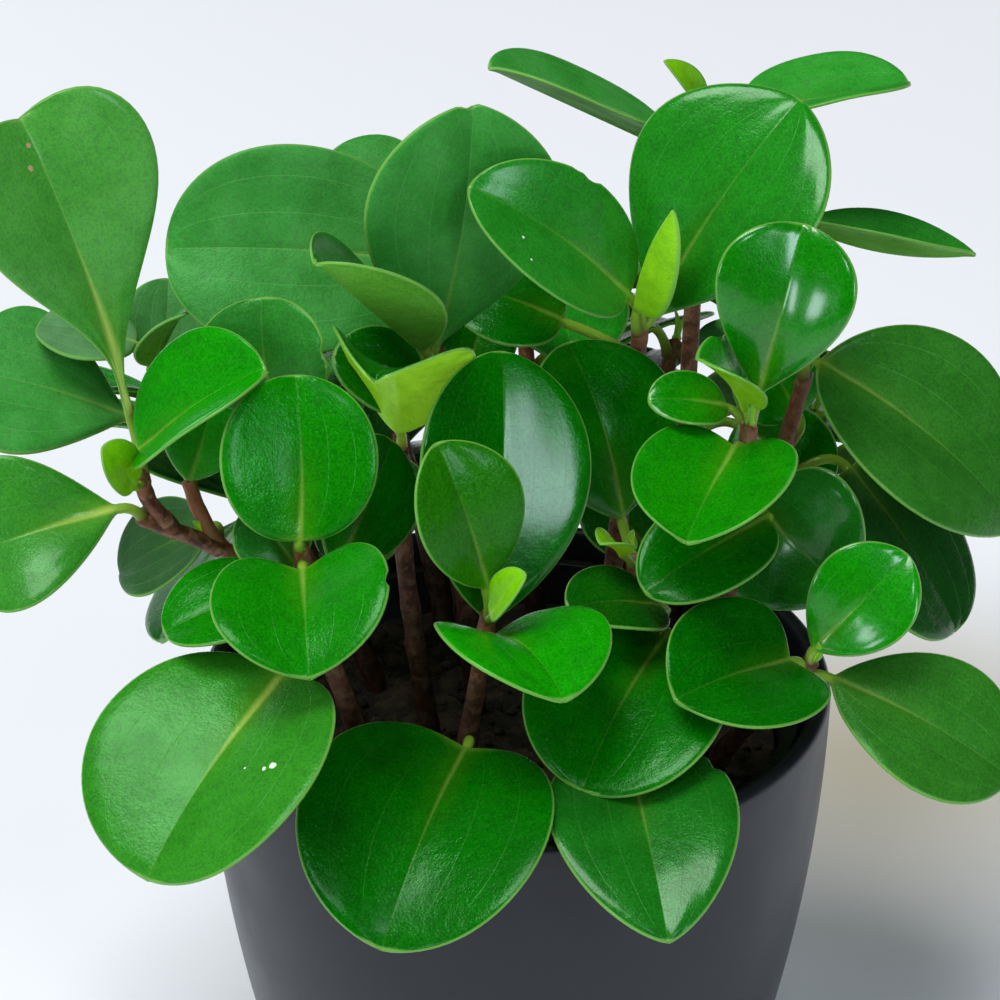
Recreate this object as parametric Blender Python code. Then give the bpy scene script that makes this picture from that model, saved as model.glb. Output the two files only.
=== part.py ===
# Potted peperomia: a round-leaved houseplant in a black nursery pot, standing in a dark outer pot.
# Metres, +Z up, origin at the centre of the outer pot's foot. The front of the plant looks along -Y.
# Lengths below are in millimetres and are turned into metres where a mesh is made.
import math
import random

import bmesh
import bpy
from mathutils import Vector
from mathutils.bvhtree import BVHTree

MM = 0.001
GAP = 0.3  # between pieces that touch

# Outer pot
POT_HEIGHT = 155.0
POT_RIM_RADIUS = 85.0
POT_FOOT_RADIUS = 60.0
POT_BELLY = 1.92  # how early the wall swings outwards
POT_LEVELS = (38.0, 74.0, 112.0)  # heights of the facets
POT_WALL = 5.0
POT_FLOOR = 7.0
LIP = 2.5  # height of the lip's rounding
POT_SIDES = 44

# Nursery pot inside it
NURSERY_RIM_RADIUS = 77.5
NURSERY_RIM_DROP = 7.5  # below the outer pot's rim
NURSERY_RIM_DEPTH = 7.0
NURSERY_NECK_RADIUS = 74.5
NURSERY_FOOT_RADIUS = 50.0
NURSERY_WALL = 1.6
DRAIN_RADIUS = 4.5
DRAIN_RING_RADIUS = 30.0
DRAIN_COUNT = 5

# Soil
SOIL_LEVEL = 135.0
SOIL_CROWN = 2.0
SOIL_SIDES = 36
HOLE_DEPTH = 16.0
HOLE_SIDES = 8

# Stems
STEM_RADIUS = 3.0
STEM_TIP_RADIUS = 2.1
STEM_SIDES = 6
STEM_RINGS = 5

# Leaves
LEAF_EDGE = 0.9  # thickness at the rim
LEAF_RIB = 1.9  # thickness along the midrib
LEAF_ROWS = 7
STALK_RADIUS = 1.6
STALK_STEPS = (0.0, 0.5)
STALK_SHAPE = ((-0.87, 0.5), (0, 1), (0.87, 0.5), (0.87, -0.5), (0, -1), (-0.87, -0.5))
STALK_BEND = 0.45
TIP_HALF = 0.7  # half of the width that is left at the very tip
CLEARANCE = 1.0  # kept round a leaf that is placed by rule

# Outline of a blade: where it is widest (0 base, 1 tip), how pointed, lobes behind the stalk, notch at the tip
OUTLINES = {
    "round": (0.50, 1.00, 0.10, 0.0),
    "broad": (0.52, 0.95, 0.25, 0.0),
    "oval": (0.57, 1.35, 0.0, 0.0),
    "pear": (0.66, 1.50, 0.0, 0.0),
    "paddle": (0.60, 1.85, 0.0, 0.05),
    "spoon": (0.79, 3.00, 0.0, 0.25),
    "heart": (0.50, 1.05, 0.60, 0.0),
    "egg": (0.38, 1.10, 0.15, 0.0),
    "long": (0.46, 1.60, 0.20, 0.0),
}

# The shoots that the front view shows. Points are in millimetres in the part's own frame.
# A leaf is: base, tip, width, the way its upper face looks, fold of each half in degrees, arch, outline.
SHOOTS = {
    "shoot_left": {
        "stem": [(-41, -8, 139), (-51, -8, 162), (-67, -9, 188), (-80, -10, 201)],
        "twigs": [
            [(-77, -10, 198), (-91, -15, 207), (-97, -19, 212)],
            [(-89, -14, 206), (-94, -18, 216), (-96, -21, 226)],
            [(-78, -10, 198), (-83, -9, 210), (-85, -8, 217)],
        ],
        "leaves": [
            ((-99, -12, 239), (-120, -17, 320), 54, (0.6, -0.8, 0.1), 14, 7, "spoon"),
            ((-95, -22, 232), (-62, -31, 260), 41, (-0.7, -0.3, 0.7), 26, 2, "round"),
            ((-97, -26, 225), (-103, -34, 240), 13, (0, -0.6, 0.8), 12, 1, "round"),
            ((-102, -22, 216), (-143, -31, 206), 43, (0, -0.7, 0.7), 14, 5, "pear"),
            ((-82, 3, 197), (-107, 9, 180), 28, (-0.5, -0.5, 0.7), 9, 2, "round"),
            ((-85, -8, 217), (-78, 2, 240), 24, (0.3, -0.8, 0.5), 12, 2, "oval"),
        ],
    },
    "shoot_back_left": {
        "stem": [(-39, 22, 139), (-53, 25, 170), (-75, 26, 205), (-91, 26, 228)],
        "twigs": [],
        "leaves": [
            ((-103, 16, 223), (-147, 14, 238), 49, (0.3, -0.4, 0.8), 4, 3, "pear"),
            ((-101, 25, 240), (-127, 27, 245), 29, (0.2, -0.1, 1), 4, 1, "round"),
            ((-95, 38, 228), (-94, 49, 249), 24, (0.1, -0.8, 0.6), 8, 3, "round"),
            ((-96, 21, 237), (-83, 11, 257), 20, (-0.3, 0.1, 1), 8, 3, "round"),
        ],
    },
    "shoot_front_left": {
        "stem": [(-37, -32, 139), (-44, -37, 168), (-51, -42, 195), (-54, -45, 219)],
        "twigs": [],
        "leaves": [
            ((-54, -48, 221), (-55, -30, 258), 40, (0.2, -0.9, 0.5), 10, 2, "round"),
            ((-53, -52, 214), (-50, -84, 203), 46, (-0.1, -0.5, 0.9), 16, 4, "heart"),
            ((-58, -44, 206), (-88, -54, 198), 29, (-0.2, -0.3, 0.9), 7, 2, "round"),
            ((-46, -38, 207), (-32, -12, 231), 31, (0.6, -0.7, 0.4), 5, 0, "oval"),
            ((-56, -37, 208), (-68, -30, 221), 21, (0, -0.7, 0.7), 8, 2, "round"),
            ((-58, -62, 190), (-89, -106, 160), 66, (-0.3, -0.4, 0.9), 14, 3, "broad"),
        ],
    },
    "shoot_tall_left": {
        "stem": [(-11, 8, 139), (-14, 9, 175), (-19, 8, 212), (-23, 4, 247)],
        "twigs": [],
        "leaves": [
            ((-21, 4, 250), (-11, 4, 316), 53, (0.3, -0.9, 0), 8, 3, "paddle"),
            ((-24, 0, 251), (-49, -25, 286), 42, (0.5, 0.4, 0.7), 30, 0, "egg"),
            ((-25, 3, 237), (-47, -1, 250), 24, (0, -0.6, 0.8), 8, 2, "round"),
        ],
    },
    "shoot_back_middle": {
        "stem": [(-13, 34, 139), (-17, 34, 180), (-21, 33, 225), (-23, 32, 262)],
        "twigs": [],
        "leaves": [
            ((-26, 26, 264), (-91, 20, 270), 56, (0.1, -0.8, 0.6), 9, 4, "broad"),
            ((-27, 42, 268), (-49, 54, 284), 30, (0, -0.3, 1), 8, 3, "round"),
            ((-14, 37, 224), (-8, 52, 242), 23, (0.1, -0.8, 0.6), 9, 2, "round"),
        ],
    },
    "shoot_middle_left": {
        "stem": [(-23, -9, 139), (-27, -6, 168), (-30, -3, 200), (-30, -2, 229)],
        "twigs": [],
        "leaves": [
            ((-61, -15, 241), (-64, -8, 269), 36, (-0.3, -0.9, 0.2), 9, 3, "broad"),
            ((-30, -12, 234), (-35, -41, 262), 42, (0.2, 0.6, 0.7), 30, 6, "pear"),
        ],
    },
    "shoot_front": {
        "stem": [(-13, -37, 139), (-13, -42, 156), (-10, -44, 178), (-7, -46, 200)],
        "twigs": [],
        "leaves": [
            ((-13, -53, 163), (-33, -108, 141), 65, (0, -0.4, 0.9), 16, 7, "broad"),
            ((-6, -50, 194), (11, -84, 197), 44, (0.1, 0, 1), 14, 5, "heart"),
            ((-7, -42, 195), (-4, -12, 256), 48, (0.4, -0.8, 0.4), 10, 3, "oval"),
            ((-8, -48, 208), (-20, -44, 246), 32, (0.5, -0.8, 0.3), 15, 3, "oval"),
            ((-6, -50, 201), (2, -56, 216), 12, (-0.8, -0.4, 0.4), 20, 1, "round"),
        ],
    },
    "shoot_middle": {
        "stem": [(29, -24, 139), (33, -25, 156), (34, -22, 178), (30, -15, 200)],
        "twigs": [],
        "leaves": [
            ((38, -33, 184), (16, -75, 165), 52, (0, -0.4, 0.9), 12, 3, "broad"),
            ((28, -60, 165), (36, -113, 147), 48, (0, -0.3, 0.9), 8, 3, "egg"),
            ((37, -28, 190), (13, -42, 198), 26, (0, -0.3, 1), 10, 2, "round"),
            ((27, -22, 203), (21, -31, 211), 12, (0.4, 0.3, 0.8), 25, 1, "round"),
            ((27, -12, 208), (13, 6, 250), 45, (0.4, -0.6, 0.6), 12, 4, "oval"),
        ],
    },
    "shoot_tall_right": {
        "stem": [(23, 14, 139), (27, 20, 180), (31, 20, 222), (32, 9, 254)],
        "twigs": [],
        "leaves": [
            ((28, 4, 264), (-12, -6, 298), 36, (0.4, -0.7, 0.6), 20, 4, "round"),
            ((35, 8, 256), (72, 23, 310), 57, (-0.4, -0.7, 0.6), 8, 6, "paddle"),
            ((31, 3, 261), (39, -7, 292), 17, (-0.6, 0.7, 0.4), 36, -2, "round"),
            ((12, 16, 251), (-16, 21, 258), 28, (0, -0.6, 0.8), 8, 3, "round"),
        ],
    },
    "shoot_top_right": {
        "stem": [(43, 36, 139), (46, 42, 190), (48, 47, 245), (50, 47, 294)],
        "twigs": [],
        "leaves": [
            ((44, 56, 283), (-7, 47, 310), 46, (0.1, 0.1, 1), 17, 0, "round"),
            ((48, 42, 301), (38, 38, 315), 10, (0.6, -0.5, 0.5), 28, 1, "egg"),
            ((61, 50, 296), (104, 58, 302), 39, (-0.1, 0, 1), 18, 0, "round"),
            ((77, 39, 269), (121, 31, 264), 33, (0.1, 0.2, 1), 26, -3, "long"),
            ((61, 44, 207), (86, 28, 197), 28, (-0.2, -0.7, 0.6), 9, 2, "round"),
            ((37, 35, 172), (21, 48, 185), 23, (0.1, -0.7, 0.7), 9, 2, "round"),
        ],
    },
    "shoot_right": {
        "stem": [(49, -14, 139), (54, -17, 172), (56, -18, 205), (59, -18, 239)],
        "twigs": [],
        "leaves": [
            ((61, -16, 246), (71, -8, 289), 36, (-0.1, -0.9, 0.4), 11, 4, "pear"),
            ((58, -14, 241), (45, -22, 259), 24, (0.6, 0, 0.8), 30, 2, "round"),
            ((55, -24, 234), (41, -60, 227), 43, (-0.1, -0.2, 1), 20, 0, "heart"),
            ((64, -20, 212), (32, -42, 203), 29, (0, -0.5, 0.9), 8, 3, "round"),
            ((64, -4, 208), (87, -17, 189), 42, (-0.2, -0.9, 0.4), 12, 4, "egg"),
            ((53, -12, 240), (33, -18, 245), 17, (0.1, -0.5, 0.85), 8, 2, "round"),
        ],
    },
    "shoot_far_right": {
        "stem": [(55, 14, 139), (61, 17, 168), (70, 20, 205), (77, 20, 236)],
        "twigs": [],
        "leaves": [
            ((79, 12, 241), (133, 4, 196), 55, (0.4, -0.6, 0.7), 12, 8, "long"),
            ((90, 25, 203), (119, 5, 164), 50, (0.6, -0.4, 0.7), 4, 2, "broad"),
            ((76, 31, 217), (63, 35, 236), 26, (0, -0.8, 0.5), 8, 2, "round"),
        ],
    },
    "shoot_front_right": {
        "stem": [(53, -22, 139), (57, -25, 148), (67, -33, 166), (76, -38, 181)],
        "twigs": [],
        "leaves": [
            ((76, -38, 184), (99, -33, 209), 28, (-0.1, -0.8, 0.5), 10, 3, "oval"),
            ((69, -43, 183), (39, -66, 186), 43, (0.2, -0.4, 0.9), 18, 1, "heart"),
            ((81, -38, 175), (126, -54, 155), 42, (0.2, -0.5, 0.8), 8, 4, "oval"),
        ],
    },
}

# The shoots behind, which grow by rule: root, top, number of leaves
REAR_SHOOTS = {
    "shoot_rear_left": ((-42, 36), (-84, 58, 200), 8),
    "shoot_rear_mid_left": ((-20, 52), (-42, 82, 214), 8),
    "shoot_rear_middle": ((6, 56), (2, 76, 238), 8),
    "shoot_rear_mid_right": ((28, 48), (46, 82, 216), 8),
    "shoot_rear_right": ((50, 34), (84, 60, 204), 8),
}
SEED = 5
TRIES = 240
LOWEST_LEAF = 0.34  # of the stem's height
SPIRAL = 2.4  # radians from one leaf to the next
REACH = (11, 18)  # from the stem to a blade's base
BLADE = (44, 60)  # length low on the stem
BLADE_SHRINK = 0.42  # less of it on top
BREADTH = (0.82, 0.98)  # width against length
# The rear leaves stay behind the front ones for an eye in front and above: a height that falls with the way back
SIGHT_SLOPE = 0.46
SIGHT_MIDDLE = 292.0
SIGHT_SIDES = 252.0
SIDES_FROM = 82.0


def material(name, colour, roughness):
    made = bpy.data.materials.new(name)
    made.use_nodes = True
    shader = made.node_tree.nodes["Principled BSDF"]
    shader.inputs["Base Color"].default_value = (*colour, 1.0)
    shader.inputs["Roughness"].default_value = roughness
    return made


def add_object(name, bm, finish):
    mesh = bpy.data.meshes.new(name)
    bm.to_mesh(mesh)
    bm.free()
    mesh.materials.append(finish)
    made = bpy.data.objects.new(name, mesh)
    bpy.context.scene.collection.objects.link(made)
    return made


def turned(name, profile, finish, sides):
    """Turns an outline of (radius, height), which starts and ends on the axis, about Z."""
    bm = bmesh.new()
    verts = [bm.verts.new((radius * MM, 0, height * MM)) for radius, height in profile]
    edges = [bm.edges.new(pair) for pair in zip(verts, verts[1:])]
    bmesh.ops.spin(bm, geom=verts + edges, cent=(0, 0, 0), axis=(0, 0, 1), angle=math.tau, steps=sides,
                   use_merge=True)
    bmesh.ops.remove_doubles(bm, verts=bm.verts, dist=1e-6)
    bmesh.ops.recalc_face_normals(bm, faces=bm.faces)
    made = add_object(name, bm, finish)
    made.data.shade_smooth()
    made.data.set_sharp_from_angle(angle=math.radians(35))
    return made


def cut(target, cutters):
    """Cuts a collection of hidden cylinders from a piece and drops them."""
    collection = bpy.data.collections.new(target.name + "_cutters")
    bpy.context.scene.collection.children.link(collection)
    for cutter in cutters:
        bpy.context.scene.collection.objects.unlink(cutter)
        collection.objects.link(cutter)
    join(target, collection, "DIFFERENCE")


def join(target, collection, operation):
    """Applies one Boolean with a collection to a piece, then removes the collection's objects."""
    boolean = target.modifiers.new("join", "BOOLEAN")
    boolean.operation = operation
    boolean.operand_type = "COLLECTION"
    boolean.collection = collection
    bpy.context.view_layer.update()
    evaluated = target.evaluated_get(bpy.context.evaluated_depsgraph_get())
    finished = bpy.data.meshes.new_from_object(evaluated)
    target.modifiers.clear()
    target.data = finished
    for helper in list(collection.objects):
        bpy.data.objects.remove(helper)
    bpy.data.collections.remove(collection)


def cylinder(name, radius, low, high, x, y, sides, finish):
    bm = bmesh.new()
    bmesh.ops.create_cone(bm, cap_ends=True, segments=sides, radius1=radius * MM, radius2=radius * MM,
                          depth=(high - low) * MM)
    bmesh.ops.translate(bm, verts=bm.verts, vec=(x * MM, y * MM, (low + high) / 2 * MM))
    return add_object(name, bm, finish)


# Pots and soil


def pot_radius(height):
    """Outer radius of the outer pot at a height."""
    swing = 1 - (1 - height / POT_HEIGHT) ** POT_BELLY
    return POT_FOOT_RADIUS + (POT_RIM_RADIUS - POT_FOOT_RADIUS) * swing


def outer_pot():
    outside = [(0, 0), (POT_FOOT_RADIUS - 3, 0), (POT_FOOT_RADIUS - 0.8, 1.0)]
    outside += [(pot_radius(z), z) for z in (5, *POT_LEVELS, POT_HEIGHT - LIP)]
    lip = [(POT_RIM_RADIUS - 1.2, POT_HEIGHT - 0.5), (POT_RIM_RADIUS - POT_WALL / 2, POT_HEIGHT),
           (POT_RIM_RADIUS - POT_WALL + 1.2, POT_HEIGHT - 0.5)]
    inside = [(pot_radius(z) - POT_WALL, z) for z in (POT_HEIGHT - LIP, *reversed(POT_LEVELS), POT_FLOOR + 6)]
    floor = [(pot_radius(POT_FLOOR) - POT_WALL - 4, POT_FLOOR), (0, POT_FLOOR)]
    finish = material("charcoal_glaze", (0.035, 0.037, 0.045), 0.45)
    return turned("pot", outside + lip + inside + floor, finish, POT_SIDES)


def nursery_pot():
    foot = POT_FLOOR + GAP
    top = POT_HEIGHT - NURSERY_RIM_DROP
    under = top - NURSERY_RIM_DEPTH
    inner_floor = foot + NURSERY_WALL
    profile = [
        (0, foot), (NURSERY_FOOT_RADIUS - 2, foot), (NURSERY_FOOT_RADIUS, foot + 2),
        (NURSERY_NECK_RADIUS, under), (NURSERY_RIM_RADIUS, under + 0.6), (NURSERY_RIM_RADIUS, top - 0.8),
        (NURSERY_RIM_RADIUS - 0.8, top), (NURSERY_NECK_RADIUS - 0.8, top), (NURSERY_NECK_RADIUS - NURSERY_WALL, under),
        (NURSERY_FOOT_RADIUS - NURSERY_WALL, inner_floor), (0, inner_floor),
    ]
    finish = material("black_plastic", (0.012, 0.012, 0.013), 0.5)
    made = turned("nursery_pot", profile, finish, POT_SIDES)
    drains = []
    for i in range(DRAIN_COUNT):
        angle = math.tau * i / DRAIN_COUNT
        x, y = DRAIN_RING_RADIUS * math.cos(angle), DRAIN_RING_RADIUS * math.sin(angle)
        drains.append(cylinder("drain_cutter", DRAIN_RADIUS, foot - 3, foot + 5, x, y, 12, finish))
    cut(made, drains)
    return made


def soil(roots):
    foot = POT_FLOOR + GAP + NURSERY_WALL + GAP
    under = POT_HEIGHT - NURSERY_RIM_DROP - NURSERY_RIM_DEPTH
    slope = (NURSERY_NECK_RADIUS - NURSERY_FOOT_RADIUS) / (under - foot)
    clear = NURSERY_WALL + GAP + 0.2
    at_foot = NURSERY_FOOT_RADIUS - clear - 1.5
    at_top = NURSERY_FOOT_RADIUS + slope * (SOIL_LEVEL - foot) - clear
    profile = [(0, foot), (at_foot, foot), (NURSERY_FOOT_RADIUS - clear, foot + 3), (at_top, SOIL_LEVEL),
               (at_top - 20, SOIL_LEVEL + SOIL_CROWN * 0.5), (at_top - 45, SOIL_LEVEL + SOIL_CROWN),
               (0, SOIL_LEVEL + SOIL_CROWN)]
    finish = material("peat", (0.03, 0.02, 0.013), 0.95)
    made = turned("soil", profile, finish, SOIL_SIDES)
    holes = [
        cylinder("hole_cutter", STEM_RADIUS + 2 * GAP, SOIL_LEVEL - HOLE_DEPTH, SOIL_LEVEL + 9, x, y, HOLE_SIDES, finish)
        for x, y in roots
    ]
    cut(made, holes)
    return made


# Stems and leaves


def along(points, t):
    """Point at t (0 to 1) on a smooth curve through the points (Catmull-Rom)."""
    spans = len(points) - 1
    place = min(max(t, 0.0), 1.0) * spans
    i = min(int(place), spans - 1)
    u = place - i
    b, c = points[i], points[i + 1]
    a = points[i - 1] if i else b * 2 - c
    d = points[i + 2] if i + 2 < len(points) else c * 2 - b
    return 0.5 * (2 * b + (c - a) * u + (2 * a - 5 * b + 4 * c - d) * u * u + (3 * b - 3 * c + d - a) * u ** 3)


def loft(rings):
    """A closed solid through rings of the same number of points. Each wall is split alike on both faces."""
    bm = bmesh.new()
    rows = [[bm.verts.new(point * MM) for point in ring] for ring in rings]
    count = len(rings[0])
    for low, high in zip(rows, rows[1:]):
        for k in range(count):
            j = (k + 1) % count
            if k < count // 2:
                bm.faces.new((low[k], low[j], high[j]))
                bm.faces.new((low[k], high[j], high[k]))
            else:
                bm.faces.new((low[k], low[j], high[k]))
                bm.faces.new((low[j], high[j], high[k]))
    bm.faces.new(reversed(rows[0]))
    bm.faces.new(rows[-1])
    bmesh.ops.recalc_face_normals(bm, faces=bm.faces)
    return bm


def stem_rings(points, start_radius, end_radius, rooted):
    """Rings along a stem. A rooted one stands upright in its hole up to its first point."""
    rings = []
    for i in range(-1 if rooted else 0, STEM_RINGS):
        t = max(i, 0) / (STEM_RINGS - 1)
        centre = along(points, t)
        forward = (along(points, t + 0.02) - along(points, t - 0.02)).normalized()
        if rooted and i < 1:
            forward = Vector((0, 0, 1))
        if i < 0:
            centre.z = SOIL_LEVEL - HOLE_DEPTH + GAP
        side = forward.cross(Vector((0, 1, 0.2))).normalized()
        other = side.cross(forward)
        radius = start_radius + (end_radius - start_radius) * t
        ring = []
        for k in range(STEM_SIDES):
            angle = math.tau * k / STEM_SIDES
            ring.append(centre + (side * math.cos(angle) + other * math.sin(angle)) * radius)
        rings.append(ring)
    return rings


def stalk_foot(base, lines):
    """Where a leaf's stalk leaves the stem: the nearest place on it, then down by half that distance."""
    best = None
    for points in lines:
        length = sum((q - p).length for p, q in zip(points, points[1:]))
        for i in range(41):
            t = i / 40
            distance = (along(points, t) - base).length
            if best is None or distance < best[0]:
                best = (distance, points, t - 0.5 * distance / length)
    return along(best[1], max(best[2], 0.05))


def leaf_rings(leaf, foot, spare=0.0):
    """Six-sided rings from inside the stem, along the stalk and over the blade to its tip."""
    base, tip, width, faces, fold, arch, outline = leaf
    base, tip, faces = Vector(base), Vector(tip), Vector(faces)
    widest, point, lobe, notch = OUTLINES[outline]
    rise, fall = widest * point, (1 - widest) * point
    peak = widest ** rise * (1 - widest) ** fall
    axis = (tip - base).normalized()
    side = axis.cross(faces).normalized()
    normal = side.cross(axis)
    length = (tip - base).length
    lean = math.radians(fold)
    rings = []
    reach = (base - foot).length
    middle = base - axis * reach * STALK_BEND
    for t in STALK_STEPS:
        centre = foot * (1 - t) ** 2 + middle * 2 * t * (1 - t) + base * t * t
        forward = ((middle - foot) * (1 - t) + (base - middle) * t).normalized()
        across = (side - forward * side.dot(forward)).normalized()
        up = across.cross(forward)
        radius = STALK_RADIUS + spare
        rings.append([centre + across * x * radius + up * y * radius for x, y in STALK_SHAPE])
    for i in range(LEAF_ROWS + 1):
        s = (1 - math.cos(math.pi * i / LEAF_ROWS)) / 2
        half = width / 2 * (s ** rise * (1 - s) ** fall) / peak
        half = max(half, STALK_RADIUS if s < 0.5 else TIP_HALF) + spare
        back = lobe * half * (1 - s) ** 2
        ahead = 2 * notch * half * s ** 6
        bow = normal * arch * 4 * s * (1 - s)
        rib = base + axis * s * length + bow
        raised = normal * half * math.sin(lean)
        edge = rib + axis * (ahead - back) + raised
        reach_out = side * half * math.cos(lean)
        rib_half = normal * (max(LEAF_RIB / 2 * (1 - s) + 0.55 * s, LEAF_EDGE / 2) + spare)
        edge_half = normal * (LEAF_EDGE / 2 + spare)
        rings.append([edge - reach_out + edge_half, rib + rib_half, edge + reach_out + edge_half,
                      edge + reach_out - edge_half, rib - rib_half, edge - reach_out - edge_half])
    return rings


def bvh(bm):
    return BVHTree.FromBMesh(bm)


def lines_of(shoot):
    return [[Vector(p) for p in line] for line in [shoot["stem"]] + shoot["twigs"]]


def rule_leaf(rng, points, i, count):
    """One leaf of a rear shoot: up the stem in a spiral, leaning out, large and drooping below, small on top."""
    height = LOWEST_LEAF + (1 - LOWEST_LEAF) * (i + 0.5) / count
    turn = i * SPIRAL + rng.uniform(-0.7, 0.7)
    start = along(points, height)
    outward = Vector((start.x, start.y, 0)).normalized()
    heading = Vector((math.cos(turn), math.sin(turn), 0)) + outward * rng.uniform(0.5, 1.3) * (1.4 - height)
    heading.normalize()
    heading.z = rng.uniform(-0.1, 0.3) + 0.6 * (height - LOWEST_LEAF)
    heading.normalize()
    size = rng.uniform(*BLADE) * (1.15 - BLADE_SHRINK * height)
    base = start + heading * rng.uniform(*REACH) + Vector((0, 0, 3))
    droop = Vector((0, 0, rng.uniform(-0.7, 0.1)))
    tip = base + (heading + droop).normalized() * size
    faces = Vector((0, 0, 1)) + outward * rng.uniform(0.1, 0.8)
    outline = rng.choice(("round", "broad", "oval", "pear", "heart"))
    width = size * rng.uniform(*BREADTH)
    return (base, tip, width, faces, rng.uniform(6, 18), rng.uniform(2, 5), outline)


def in_view(point):
    """Whether a point would show above the front leaves."""
    limit = SIGHT_SIDES if abs(point.x) > SIDES_FROM else SIGHT_MIDDLE
    return point.z + SIGHT_SLOPE * point.y > limit


def by_the_pot(point):
    return point.z < POT_HEIGHT + 8 and Vector((point.x, point.y)).length < POT_RIM_RADIUS + 6


def fits(leaf, foot, others, own):
    """Whether a leaf, with a margin round it, is clear of the other shoots, the pots and its own shoot's blades."""
    rings = leaf_rings(leaf, foot, CLEARANCE)
    if any(in_view(point) or by_the_pot(point) for ring in rings[1:] for point in ring):
        return False
    if min(point.z for ring in rings for point in ring) < POT_HEIGHT - 25:
        return False
    whole = loft(rings)
    tree = bvh(whole)
    whole.free()
    if any(tree.overlap(other) for other in others):
        return False
    blade = loft(rings[len(STALK_STEPS):])
    tree = bvh(blade)
    blade.free()
    return not any(tree.overlap(other) for other in own)


def shoot_solids(shoot):
    """The stem, its twigs and its leaves as separate closed meshes."""
    lines = lines_of(shoot)
    solids = [loft(stem_rings(lines[0], STEM_RADIUS, STEM_TIP_RADIUS, True))]
    solids += [loft(stem_rings(line, STEM_TIP_RADIUS + 0.3, STEM_TIP_RADIUS - 0.2, False)) for line in lines[1:]]
    solids += [loft(leaf_rings(leaf, stalk_foot(Vector(leaf[0]), lines))) for leaf in shoot["leaves"]]
    return solids


def grow_rear_shoots():
    """Adds the rear shoots to a copy of the list, each leaf drawn again until it is clear."""
    shoots = dict(SHOOTS)
    trees = []
    for shoot in SHOOTS.values():
        for solid in shoot_solids(shoot):
            trees.append(bvh(solid))
            solid.free()
    stems = {}
    for name, (root, top, count) in REAR_SHOOTS.items():
        top = Vector(top)
        foot = Vector((root[0], root[1], SOIL_LEVEL + 4))
        lean = top - foot
        low = foot + lean * 0.3 + Vector((0, 0, 6))
        high = foot + lean * 0.65 + Vector((0, 0, 8))
        stems[name] = [foot, low, high, top]
        stem = loft(stem_rings(stems[name], STEM_RADIUS, STEM_TIP_RADIUS, True))
        trees.append(bvh(stem))
        stem.free()
    rng = random.Random(SEED)
    for name, (root, top, count) in REAR_SHOOTS.items():
        points = stems[name]
        own_stem = len(trees) - len(stems) + list(stems).index(name)
        leaves, own = [], []
        others = [tree for n, tree in enumerate(trees) if n != own_stem]
        for i in range(count):
            for _ in range(TRIES):
                leaf = rule_leaf(rng, points, i, count)
                foot = stalk_foot(leaf[0], [points])
                if fits(leaf, foot, others, own):
                    leaves.append(leaf)
                    solid = loft(leaf_rings(leaf, foot))
                    own.append(bvh(solid))
                    solid.free()
                    break
        trees[own_stem:own_stem] = own
        shoots[name] = {"stem": points, "twigs": [], "leaves": leaves}
    return shoots


def add_shoot(name, shoot, finish):
    """Fuses a shoot's leaves and twigs into its stem."""
    solids = shoot_solids(shoot)
    stem = add_object(name, solids[0], finish)
    collection = bpy.data.collections.new(name + "_parts")
    bpy.context.scene.collection.children.link(collection)
    for solid in solids[1:]:
        piece = add_object(name + "_part", solid, finish)
        bpy.context.scene.collection.objects.unlink(piece)
        collection.objects.link(piece)
    join(stem, collection, "UNION")
    return stem


def main():
    for old in list(bpy.data.objects):
        bpy.data.objects.remove(old)
    outer_pot()
    nursery_pot()
    shoots = grow_rear_shoots()
    soil([shoot["stem"][0][:2] for shoot in shoots.values()])
    for name, shoot in shoots.items():
        green = material(name + "_green", (0.05, 0.25, 0.035), 0.35)
        add_shoot(name, shoot, green)


main()
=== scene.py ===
import math
import random

import bmesh
import bpy
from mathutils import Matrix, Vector, noise
from mathutils.bvhtree import BVHTree


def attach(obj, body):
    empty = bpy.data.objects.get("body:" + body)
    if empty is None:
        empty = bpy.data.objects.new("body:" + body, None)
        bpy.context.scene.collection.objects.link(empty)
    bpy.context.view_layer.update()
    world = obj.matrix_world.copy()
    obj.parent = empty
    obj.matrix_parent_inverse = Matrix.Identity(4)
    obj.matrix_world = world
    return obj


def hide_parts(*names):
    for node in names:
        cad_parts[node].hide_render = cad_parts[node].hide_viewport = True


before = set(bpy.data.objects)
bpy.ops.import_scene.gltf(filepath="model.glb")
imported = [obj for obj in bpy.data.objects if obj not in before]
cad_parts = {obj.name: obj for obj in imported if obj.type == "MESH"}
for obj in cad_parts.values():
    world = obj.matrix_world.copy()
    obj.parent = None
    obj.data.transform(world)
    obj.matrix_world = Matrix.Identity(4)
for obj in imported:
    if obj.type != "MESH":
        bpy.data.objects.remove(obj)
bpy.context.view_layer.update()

# A potted peperomia. Lengths are in millimetres, as a grower would measure them, and a piece is
# brought to metres when its mesh is done. The plant looks along -Y, and its pot stands on z = 0.
toMetres = 0.001
print("frame loaded")


def meshOf(name, bm):
    mesh = bpy.data.meshes.new(name)
    bm.to_mesh(mesh)
    bm.free()
    return mesh


def addObject(name, data):
    thing = bpy.data.objects.new(name, data)
    bpy.context.scene.collection.objects.link(thing)
    return thing


# Camera and light

cameraLook = {
    "place": (-4.3, -728.8, 592.6),
    "downwards": 27.88,  # degrees below the horizon
    "lens": 112.93,
    "sensor": 36.0,
}

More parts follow.
